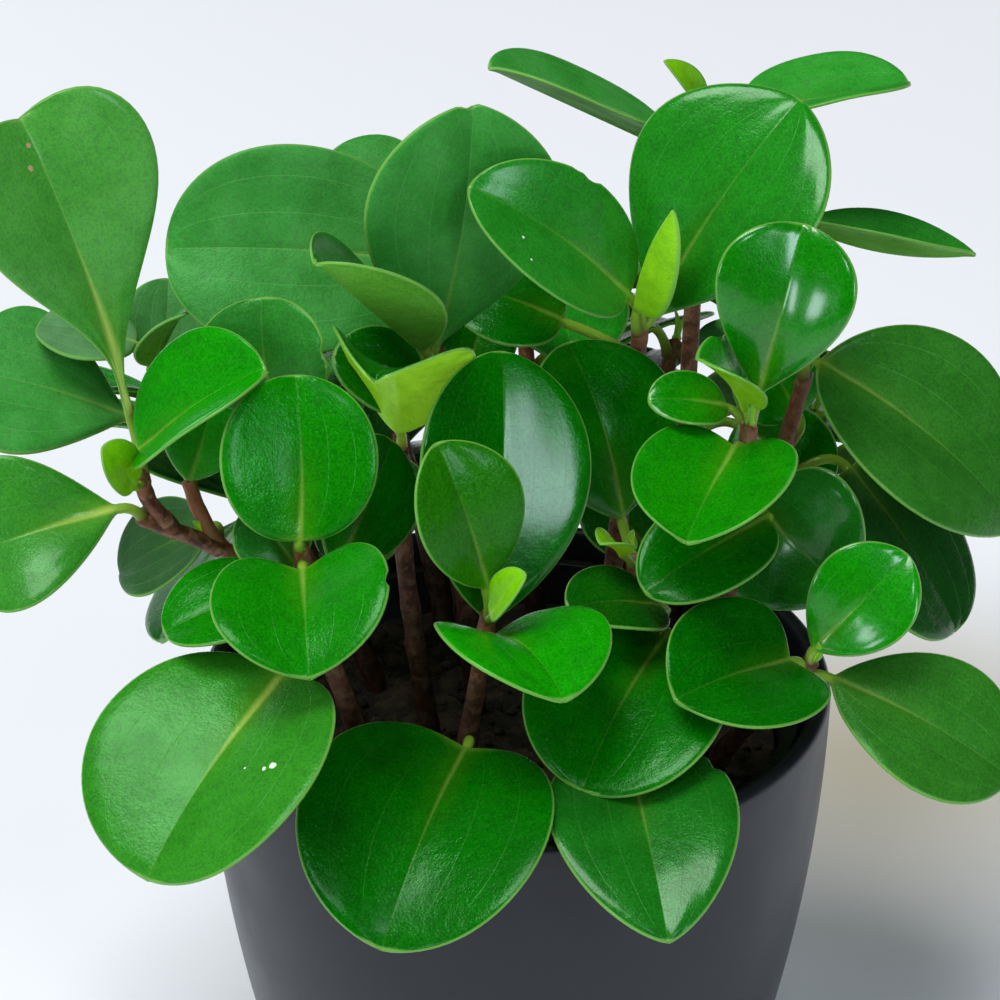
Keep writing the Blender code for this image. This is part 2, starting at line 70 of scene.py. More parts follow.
roomLook = {
    "floorSize": 16.0,  # metres
    # painted light: a paler patch of floor on the left
    "floorPaintedLight": (0.845, 0.860, 0.890),  # on the left
    "floorFar": (0.800, 0.805, 0.830),
    "paintedLightCentre": (-0.45, -0.20, 0.0),
    "paintedLightReach": (0.45, 1.40),
    # painted shadow: a duller, warmer patch of floor behind the pot on the right
    "floorPaintedShadow": (0.415, 0.382, 0.290),  # behind the pot on the right
    "paintedShadowCentre": (0.125, 0.200, 0.0),
    "paintedShadowReach": (0.00, 0.19),
    "floorGrain": {"Size": 2.0, "Clouds": 400.0},
    "blur": 0.02,  # how far the clouds blur the edges of the two patches
    "floorFinish": {"Roughness": 0.6, "Specular IOR Level": 0.3},
    "airColour": (0.90, 0.97, 1.0),
    "airStrength": 0.15,
    "aimHeight": 0.24,  # the lights point at the middle of the leaves
    "sunDistance": 2.0,
}

# Lights seen from the plant: bearing (degrees from the front, right positive), height above the
# horizon and spread in degrees. A pane stands near, so it has a distance and a size in metres.
# What isn't mirrored only fills the shade, so that the greens stay deep.
lightLook = {
    "skylight": {"bearing": -60, "height": 73, "spread": 30, "power": 2.20, "colour": (0.97, 0.98, 1.0)},
    "paleWalls": {"bearing": -82, "height": 34, "spread": 84, "power": 1.25, "colour": (0.98, 0.99, 1.0),
                  "mirrored": False},
    "paneRight": {"bearing": 30, "height": 24, "distance": 1.4, "size": (0.18, 0.50), "power": 3.8,
                  "colour": (0.74, 0.88, 1.0)},
    "paneAbove": {"bearing": 3, "height": 47, "distance": 1.4, "size": (0.16, 0.16), "power": 1.2,
                  "colour": (0.80, 0.92, 1.0)},
    "paneLeft": {"bearing": -36, "height": 14, "distance": 1.4, "size": (0.18, 0.30), "power": 2.2,
                 "colour": (0.80, 0.92, 1.0)},
    "paneBehind": {"bearing": -142, "height": 10, "distance": 1.5, "size": (0.55, 0.45), "power": 1.7,
                   "colour": (0.82, 0.92, 1.0)},
}


def makeCamera(look):
    data = bpy.data.cameras.new("photoCamera")
    data.sensor_width = look["sensor"]
    data.lens = look["lens"]
    camera = addObject("photoCamera", data)
    camera.location = Vector(look["place"]) * toMetres
    camera.rotation_euler = (math.radians(90 - look["downwards"]), 0, 0)
    bpy.context.scene.camera = camera


def makeLight(name, look):
    near = "distance" in look
    data = bpy.data.lights.new(name, "AREA" if near else "SUN")
    if near:
        data.shape = "RECTANGLE"
        data.size, data.size_y = look["size"]
    else:
        data.angle = math.radians(look["spread"])
    data.energy = look["power"]
    data.color = look["colour"]
    bearing, height = math.radians(look["bearing"]), math.radians(look["height"])
    towards = Vector((math.sin(bearing), -math.cos(bearing), math.tan(height))).normalized()
    lamp = addObject(name, data)
    distance = look.get("distance", roomLook["sunDistance"])
    lamp.location = Vector((0, 0, roomLook["aimHeight"])) + towards * distance
    lamp.rotation_euler = towards.to_track_quat("Z", "Y").to_euler()
    lamp.visible_glossy = look.get("mirrored", True)


def makeRoom(look):
    world = bpy.data.worlds.new("paleRoom")
    world.use_nodes = True
    air = world.node_tree.nodes["Background"]
    air.inputs["Color"].default_value = (*look["airColour"], 1)
    air.inputs["Strength"].default_value = look["airStrength"]
    bpy.context.scene.world = world
    world.cycles_visibility.glossy = False
    bpy.context.scene.view_settings.view_transform = "Standard"  # keeps the leaves' strong greens
    bm = bmesh.new()
    bmesh.ops.create_grid(bm, x_segments=2, y_segments=2, size=look["floorSize"] / 2)
    floor = addObject("paleFloor", meshOf("paleFloor", bm))
    floor.data.materials.append(floorMaterial(look))


# Materials: small helpers, then the effects that several finishes share

grainLook = {
    "pebbles": -0.6,  # how deep they lie in the grain
    "swellScale": 0.22,  # of the grain's own
    "cloudDetail": 3.0,
}
spotLook = {
    "scale": 900.0,
    "ragged": 0.9,
    "edge": (1.25, 1.55, 1.0, 0.0),
}
cloudSpan = (0.3, 0.7)  # the values between which the clouds lie


def startMaterial(name):
    material = bpy.data.materials.new(name)
    material.use_nodes = True
    return material, material.node_tree, material.node_tree.nodes["Principled BSDF"]


def put(tree, kind, inputs=None, **settings):
    # adds a node: a socket given as an input is linked, anything else is its value
    node = tree.nodes.new(kind)
    for key, value in settings.items():
        setattr(node, key, value)
    feedAll(tree, node, inputs or {})
    return node


def feed(tree, target, value):
    if isinstance(value, bpy.types.NodeSocket):
        tree.links.new(value, target)
    else:
        target.default_value = value


def feedAll(tree, node, values):
    for label, value in values.items():
        feed(tree, node.inputs[label], value)


def maths(tree, operation, first, second=0.5, third=0.5, clamp=False):
    node = put(tree, "ShaderNodeMath", {0: first, 1: second, 2: third}, operation=operation)
    node.use_clamp = clamp
    return node.outputs[0]


def times(tree, first, second, clamp=False):
    return maths(tree, "MULTIPLY", first, second, clamp=clamp)


def timesPlus(tree, value, factor, plus, clamp=False):
    return maths(tree, "MULTIPLY_ADD", value, factor, plus, clamp)


def blendColours(tree, amount, first, second, mode="MIX"):
    node = put(tree, "ShaderNodeMix", data_type="RGBA", blend_type=mode)
    feed(tree, node.inputs[0], amount)
    for socket, value in ((node.inputs[6], first), (node.inputs[7], second)):
        feed(tree, socket, value if isinstance(value, bpy.types.NodeSocket) else (*value, 1))
    return node.outputs[2]


def paintLayers(tree, colour, layers):
    for amount, paint, *mode in layers:
        colour = blendColours(tree, amount, colour, paint, *mode)
    return colour


def ramp(tree, value, fromLow, fromHigh, toLow=0.0, toHigh=1.0):
    node = put(tree, "ShaderNodeMapRange", {0: value, 1: fromLow, 2: fromHigh, 3: toLow, 4: toHigh},
               interpolation_type="SMOOTHSTEP")
    return node.outputs[0]


def objectPlace(tree):
    return put(tree, "ShaderNodeTexCoord").outputs["Object"]


def distanceTo(tree, place, centre):
    return put(tree, "ShaderNodeVectorMath", {0: place, 1: centre}, operation="DISTANCE").outputs["Value"]


def readAttribute(tree, label, output="Vector"):
    return put(tree, "ShaderNodeAttribute", attribute_name=label).outputs[output]


def splitVector(tree, vector):
    return put(tree, "ShaderNodeSeparateXYZ", {0: vector}).outputs


def softNoise(tree, place, scale, detail=2.0):
    return put(tree, "ShaderNodeTexNoise", {"Vector": place, "Scale": scale, "Detail": detail}).outputs["Fac"]


def useBump(tree, height, strength, distance):
    node = put(tree, "ShaderNodeBump", {"Height": height, "Strength": strength, "Distance": distance})
    return node.outputs[0]


def useGroup(tree, group, **values):
    node = put(tree, "ShaderNodeGroup", node_tree=group)
    feedAll(tree, node, values)
    return node.outputs


def startGroup(name, inputs, outputs):
    group = bpy.data.node_groups.new(name, "ShaderNodeTree")
    for label, (kind, value) in inputs.items():
        socket = group.interface.new_socket(label, in_out="INPUT", socket_type=kind)
        socket.default_value = value
    for label in outputs:
        group.interface.new_socket(label, in_out="OUTPUT", socket_type="NodeSocketFloat")
    return group, group.nodes.new("NodeGroupInput").outputs, group.nodes.new("NodeGroupOutput")


def grainGroup():
    # fine pebbled grain, and soft clouds over larger patches
    look = grainLook
    sizes = {"Size": ("NodeSocketFloat", 1.0), "Clouds": ("NodeSocketFloat", 20.0)}
    group, given, result = startGroup("fineGrain", sizes, ("Height", "Swell", "Cloud"))
    coords = objectPlace(group)
    density, wide = (maths(group, "DIVIDE", 1 / toMetres, given[label]) for label in ("Size", "Clouds"))
    pebbles = put(group, "ShaderNodeTexVoronoi", {"Vector": coords, "Scale": density}, feature="SMOOTH_F1")
    rough = softNoise(group, coords, density)
    swell = softNoise(group, coords, times(group, density, look["swellScale"]))
    cloud = softNoise(group, coords, wide, look["cloudDetail"])
    height = timesPlus(group, pebbles.outputs["Distance"], look["pebbles"], rough)
    feedAll(group, result, {"Height": height, "Swell": swell, "Cloud": cloud})
    return group


def spotGroup():
    # a small ragged spot round a point of the surface
    sizes = {"Centre": ("NodeSocketVector", (0, 0, 0)), "Radius": ("NodeSocketFloat", 0.001)}
    group, given, result = startGroup("raggedSpot", sizes, ("Mask",))
    coords = objectPlace(group)
    rags = softNoise(group, coords, spotLook["scale"])
    reach = maths(group, "DIVIDE", distanceTo(group, coords, given["Centre"]), given["Radius"])
    reach = timesPlus(group, rags, spotLook["ragged"], reach)
    feedAll(group, result, {"Mask": ramp(group, reach, *spotLook["edge"])})
    return group


def floorMaterial(look):
    # painted light and shadow: palest on the left, greyer far off, and a painted shadow, duller and warmer,
    # behind the pot on the right
    material, tree, shader = startMaterial("paleFloor")
    cloud = useGroup(tree, fineGrain, **look["floorGrain"])["Cloud"]
    coords = objectPlace(tree)
    spreads = []
    for patch in ("paintedLight", "paintedShadow"):
        away = timesPlus(tree, cloud, look["blur"], distanceTo(tree, coords, look[patch + "Centre"]))
        spreads.append(ramp(tree, away, *look[patch + "Reach"]))
    tint = blendColours(tree, spreads[0], look["floorPaintedLight"], look["floorFar"])
    tint = blendColours(tree, spreads[1], look["floorPaintedShadow"], tint)
    feedAll(tree, shader, {"Base Color": tint, **look["floorFinish"]})
    return material


def grainyMaterial(name, finish):
    # fine grain, with clouds between two colours and between two roughnesses
    material, tree, shader = startMaterial(name)
    grain = useGroup(tree, fineGrain, **finish["grain"])
    patches = ramp(tree, grain["Cloud"], *finish["patches"]) if "patches" in finish else grain["Cloud"]
    feedAll(tree, shader, {
        "Base Color": blendColours(tree, patches, *finish["colours"]),
        "Roughness": ramp(tree, grain["Cloud"], *cloudSpan, *finish["roughness"]),
        "Specular IOR Level": finish.get("specular", 0.5),
        "Normal": useBump(tree, grain["Height"], *finish["bump"]),
    })
    return material


fineGrain = grainGroup()
raggedSpot = spotGroup()
makeCamera(cameraLook)
makeRoom(roomLook)
for lampName, lampLook in lightLook.items():
    makeLight(lampName, lampLook)
print("camera, room and lights")


# Pieces


def addPiece(name, bm, materials, node):
    mesh = meshOf(name, bm)
    for material in materials:
        mesh.materials.append(material)
    piece = addObject(name, mesh)
    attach(piece, "root")
    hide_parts(node)
    return piece


def closeSkin(bm):
    bmesh.ops.remove_doubles(bm, verts=bm.verts, dist=0.001)
    bmesh.ops.recalc_face_normals(bm, faces=bm.faces)


def scaleToMetres(bm):
    bmesh.ops.scale(bm, vec=(toMetres,) * 3, verts=bm.verts)


def smoothAndScale(bm):
    for face in bm.faces:
        face.smooth = True
    scaleToMetres(bm)


def spinProfile(profile, steps):
    # turns an outline of (radius, height) about Z: it starts and ends on the axis
    bm = bmesh.new()
    verts = [bm.verts.new((radius, 0, height)) for radius, height in profile]
    edges = [bm.edges.new(pair) for pair in zip(verts, verts[1:])]
    bmesh.ops.spin(bm, geom=verts + edges, cent=(0, 0, 0), axis=(0, 0, 1), angle=math.tau, steps=steps,
                   use_merge=True)
    closeSkin(bm)
    return bm


def arcPoints(centre, radius, start, end, count):
    # a round stretch of an outline, angles in degrees
    angles = [math.radians(start + (end - start) * i / count) for i in range(count + 1)]
    return [(centre[0] + radius * math.cos(a), centre[1] + radius * math.sin(a)) for a in angles]


# Outer pot

potLook = {
    "height": 155.0,
    "rimRadius": 85.0,
    "rimArc": (0, 180, 12),  # degrees from and to, and steps
    "footRadius": 60.0,
    "footRound": 2.4,
    "footArc": (-90, -12, 6),
    "footHollow": 1.2,
    "footRing": (9.0, 7.0),  # how far in the hollow's slope lies
    "belly": 1.92,  # how early the wall swings outwards
    "wall": 5.0,
    "wallFrom": 5.0,  # height above which the wall follows its curve
    "floor": 7.0,
    "corner": 4.0,  # inside, between wall and floor
    "levels": 26,
    "innerFrom": 3,  # the level where the inner wall starts
    "steps": 160,
    "finish": {
        "grain": {"Size": 0.55, "Clouds": 26.0},
        "colours": ((0.012, 0.013, 0.018), (0.019, 0.020, 0.026)),
        "roughness": (0.36, 0.44),
        "specular": 0.31,
        "bump": (0.12, 0.0003),
    },
}


def potRadius(height):
    swing = 1 - (1 - height / potLook["height"]) ** potLook["belly"]
    return potLook["footRadius"] + (potLook["rimRadius"] - potLook["footRadius"]) * swing


def makeOuterPot():
    look = potLook
    top, half, low = look["height"], look["wall"] / 2, look["wallFrom"]
    rise = (top - half - low) / look["levels"]
    heights = [low + rise * i for i in range(look["levels"] + 1)]
    foot, hollow = look["footRadius"], look["footHollow"]
    outerRing, innerRing = look["footRing"]
    profile = [(0, hollow), (foot - outerRing, hollow), (foot - innerRing, 0)]
    profile += arcPoints((foot - look["footRound"], look["footRound"]), look["footRound"], *look["footArc"])
    profile += [(potRadius(z), z) for z in heights]
    profile += arcPoints((look["rimRadius"] - half, top - half), half, *look["rimArc"])[1:]
    profile += [(potRadius(z) - look["wall"], z) for z in reversed(heights[look["innerFrom"]:-1])]
    profile += [(potRadius(look["floor"]) - look["wall"] - look["corner"], look["floor"]), (0, look["floor"])]
    bm = spinProfile(profile, look["steps"])
    smoothAndScale(bm)
    addPiece("outer_pot", bm, [grainyMaterial("charcoalGlaze", look["finish"])], "pot")


makeOuterPot()
print("outer pot")


# Nursery pot inside it

nurseryLook = {
    "rimRadius": 77.5,
    "rimDrop": 7.5,  # below the outer pot's rim
    "rimDepth": 7.0,
    "rimBevel": ((0.5, 0.2), (0.0, 0.7)),  # under the rim: inwards and up
    "rimRound": 0.8,
    "rimArc": (0, 90, 5),
    "lipRound": 0.7,
    "lipArc": (90, 180, 5),
    "lipInset": 0.1,
    "neckRadius": 74.5,
    "footRadius": 50.0,
    "footBevel": ((2.0, 0.0), (0.5, 0.6)),
    "wall": 1.6,
    "gap": 0.3,
    "innerDrop": 12.0,  # heights of the wall's inner face, below the rim and above the foot
    "innerRise": 30.0,
    "cornerRise": 2.0,
    "rows": 41,
    "ribDepth": 0.35,  # shallow rings pressed into the wall
    "ribScale": 7.0,
    "ribSharpness": 12,
    "sharpAngle": 50,
    "drainCount": 5,
    "drainRadius": 4.5,
    "drainRing": 30.0,
    "drainSides": 32,
    "drillDepth": 12,
    "steps": 144,
    "finish": {
        "grain": {"Size": 0.8, "Clouds": 14.0},
        "patches": (0.45, 0.75),
        "colours": ((0.010, 0.010, 0.011), (0.022, 0.021, 0.021)),
        "roughness": (0.38, 0.55),
        "bump": (0.15, 0.0003),
    },
}
nurseryFoot = potLook["floor"] + nurseryLook["gap"]
nurseryTop = potLook["height"] - nurseryLook["rimDrop"]
rimUnderside = nurseryTop - nurseryLook["rimDepth"]


def nurseryWall(z):
    # radius of the tapered wall, between foot and rim
    look = nurseryLook
    slope = (look["neckRadius"] - look["footRadius"]) / (rimUnderside - nurseryFoot)
    return look["footRadius"] + slope * (z - nurseryFoot)


def makeNurseryPot():
    look = nurseryLook
    foot, top, under = nurseryFoot, nurseryTop, rimUnderside
    rim, neck, wall = look["rimRadius"], look["neckRadius"], look["wall"]
    profile = [(0, foot)] + [(look["footRadius"] - inwards, foot + up) for inwards, up in look["footBevel"]]
    for i in range(1, look["rows"]):
        z = foot + (under - foot) * i / look["rows"]
        rib = look["ribDepth"] * max(0.0, math.sin(z / look["ribScale"])) ** look["ribSharpness"]
        profile.append((nurseryWall(z) - rib, z))
    profile += [(neck, under)] + [(rim - inwards, under + up) for inwards, up in look["rimBevel"]]
    profile += arcPoints((rim - look["rimRound"], top - look["rimRound"]), look["rimRound"], *look["rimArc"])
    profile += arcPoints((neck - look["lipInset"], top - look["lipRound"]), look["lipRound"], *look["lipArc"])
    profile += [(neck - wall, under)]
    inside = (under - look["innerDrop"], foot + look["innerRise"], foot + wall + look["cornerRise"])
    profile += [(nurseryWall(z) - wall, z) for z in inside]
    profile += [(0, foot + wall)]
    bm = spinProfile(profile, look["steps"])
    smoothAndScale(bm)
    finish = grainyMaterial("blackPlastic", look["finish"])
    piece = addPiece("inner_pot", bm, [finish], "nursery_pot")
    drillDrains(piece)
    piece.data.set_sharp_from_angle(angle=math.radians(look["sharpAngle"]))


def drillDrains(piece):
    look = nurseryLook
    bm = bmesh.new()
    for i in range(look["drainCount"]):
        angle = math.tau * i / look["drainCount"]
        made = bmesh.ops.create_cone(bm, cap_ends=True, segments=look["drainSides"], depth=look["drillDepth"],
                                     radius1=look["drainRadius"], radius2=look["drainRadius"])
        x, y = (look["drainRing"] * part for part in (math.cos(angle), math.sin(angle)))
        bmesh.ops.translate(bm, verts=made["verts"], vec=(x, y, nurseryFoot))
    scaleToMetres(bm)
    drill = addObject("drainDrill", meshOf("drainDrill", bm))
    cut = piece.modifiers.new("drains", "BOOLEAN")
    cut.operation = "DIFFERENCE"
    cut.object = drill
    bpy.context.view_layer.update()
    drilled = bpy.data.meshes.new_from_object(piece.evaluated_get(bpy.context.evaluated_depsgraph_get()))
    piece.modifiers.clear()
    piece.data = drilled
    bpy.data.objects.remove(drill)


makeNurseryPot()
print("nursery pot")


# Soil

soilLook = {
    "level": 135.0,
    "crown": 2.0,
    "holeDepth": 16.0,
    "slack": 0.6,  # between the soil and the nursery pot's wall
    "footBevel": (2.0, 3.0),
    "edgeDrop": 2.5,
    "rings": 46,
    "steps": 150,
    "lumps": 1.5,  # how far the peat rises and falls
    "lumpSize": 9.0,
    "lumpPlane": 3.0,
    "lumpNoise": (0.9, 2.1, 4),  # roughness, step between octaves and octaves
    "crumbs": 420,
    "crumbSize": (0.7, 2.6),
    "crumbForm": (1.3, 1.0, 0.7),
    "crumbRagged": (0.75, 1.2),
    "crumbTilt": 0.4,
    "crumbLift": 0.25,
    "crumbMargin": 3.0,
    "seed": 11,
    "finish": {
        "grain": {"Size": 1.3, "Clouds": 7.0},
        "patches": (0.4, 0.68),
        "colours": ((0.012, 0.008, 0.005), (0.055, 0.034, 0.019)),
        "roughness": (0.8, 1.0),
        "bump": (0.8, 0.001),
    },
}


def soilSurface(x, y):
    # height of the peat, crowned in the middle and lumpy
    look = soilLook
    away = math.hypot(x, y) / nurseryLook["neckRadius"]
    lump = noise.fractal(Vector((x, y, look["lumpPlane"])) / look["lumpSize"], *look["lumpNoise"])
    return look["level"] + look["crown"] * (1 - away * away) + look["lumps"] * lump


def makeSoil():
    look, level, pot = soilLook, soilLook["level"], nurseryLook
    foot = nurseryFoot + pot["gap"] + pot["wall"]
    clear = pot["wall"] + pot["gap"] + look["slack"]
    edge = nurseryWall(level - pot["gap"] - pot["wall"]) - clear
    inwards, up = look["footBevel"]
    profile = [(0, foot), (pot["footRadius"] - clear - inwards, foot), (pot["footRadius"] - clear, foot + up)]
    profile += [(edge, level - look["edgeDrop"])]
    profile += [(edge * (1 - i / look["rings"]), level) for i in range(look["rings"] + 1)]
    bm = spinProfile(profile, look["steps"])
    for vert in bm.verts:
        if vert.co.z > level - look["edgeDrop"] / 2:
            vert.co.z = soilSurface(vert.co.x, vert.co.y)
    rng = random.Random(look["seed"])
    for _ in range(look["crumbs"]):
        scatterCrumb(bm, rng, edge - look["crumbMargin"])
    smoothAndScale(bm)
    addPiece("peat_bed", bm, [grainyMaterial("darkPeat", look["finish"])], "soil")


def scatterCrumb(bm, rng, edge):
    look = soilLook
    away, turn = edge * math.sqrt(rng.random()), rng.uniform(0, math.tau)
    x, y = away * math.cos(turn), away * math.sin(turn)
    size = rng.uniform(*look["crumbSize"]) * rng.uniform(0.5, 1)
    made = bmesh.ops.create_icosphere(bm, subdivisions=1, radius=1)["verts"]
    for vert in made:
        vert.co *= rng.uniform(*look["crumbRagged"])
        vert.co = [part * size * form for part, form in zip(vert.co, look["crumbForm"])]
    heading = Vector([rng.uniform(-reach, reach) for reach in (1, 1, look["crumbTilt"])])
    turned = Vector((1, 0, 0)).rotation_difference(heading).to_matrix()
    bmesh.ops.rotate(bm, verts=made, cent=(0, 0, 0), matrix=turned)
    bmesh.ops.translate(bm, verts=made, vec=(x, y, soilSurface(x, y) + size * look["crumbLift"]))


makeSoil()
print("soil")


# Foliage: the outlines, the shoots and how each leaf grows

# where a blade is widest (0 base, 1 tip), how pointed, lobes behind the stalk, notch at the tip
outlines = {
    "round": (0.50, 1.00, 0.10, 0.0),
    "broad": (0.52, 0.95, 0.25, 0.0),
    "oval": (0.57, 1.35, 0.0, 0.0),
    "pear": (0.66, 1.50, 0.0, 0.0),
    "paddle": (0.60, 1.85, 0.0, 0.05),
    "spoon": (0.79, 3.00, 0.0, 0.25),
    "heart": (0.50, 1.05, 0.60, 0.0),
    "egg": (0.38, 1.10, 0.15, 0.0),
    "long": (0.46, 1.60, 0.20, 0.0),
    "bowl": (0.46, 0.90, 0.45, 0.0),
}

# upper face, lower face, how strongly the midrib shows, and how strongly the lower face glows: a painted glow
# for light shining through from above
leafTones = {
    "lime": ((0.250, 0.620, 0.006), (0.290, 0.610, 0.012), 0.15, 0.08),
    "fresh": ((0.006, 0.300, 0.001), (0.090, 0.330, 0.012), 0.18, 0.02),
    "grown": ((0.005, 0.225, 0.001), (0.085, 0.310, 0.018), 0.22, 0.02),
    "ribbed": ((0.024, 0.270, 0.003), (0.080, 0.260, 0.015), 0.52, 0.02),
    "bright": ((0.050, 0.390, 0.008), (0.080, 0.260, 0.015), 1.00, 0.02),
    "olive": ((0.018, 0.175, 0.002), (0.070, 0.190, 0.015), 0.18, 0.02),
    "deep": ((0.002, 0.150, 0.001), (0.055, 0.200, 0.012), 0.16, 0.01),
    # darkest green, partly painted shade: for leaves low and deep in the plant
    "dark": ((0.003, 0.095, 0.002), (0.035, 0.120, 0.010), 0.12, 0.0),
    "cup": ((0.002, 0.130, 0.001), (0.330, 0.680, 0.025), 0.10, 0.30),
    "flap": ((0.008, 0.290, 0.002), (0.240, 0.520, 0.010), 0.40, 0.15),
    "turned": ((0.005, 0.220, 0.001), (0.110, 0.420, 0.020), 0.20, 0.06),
}
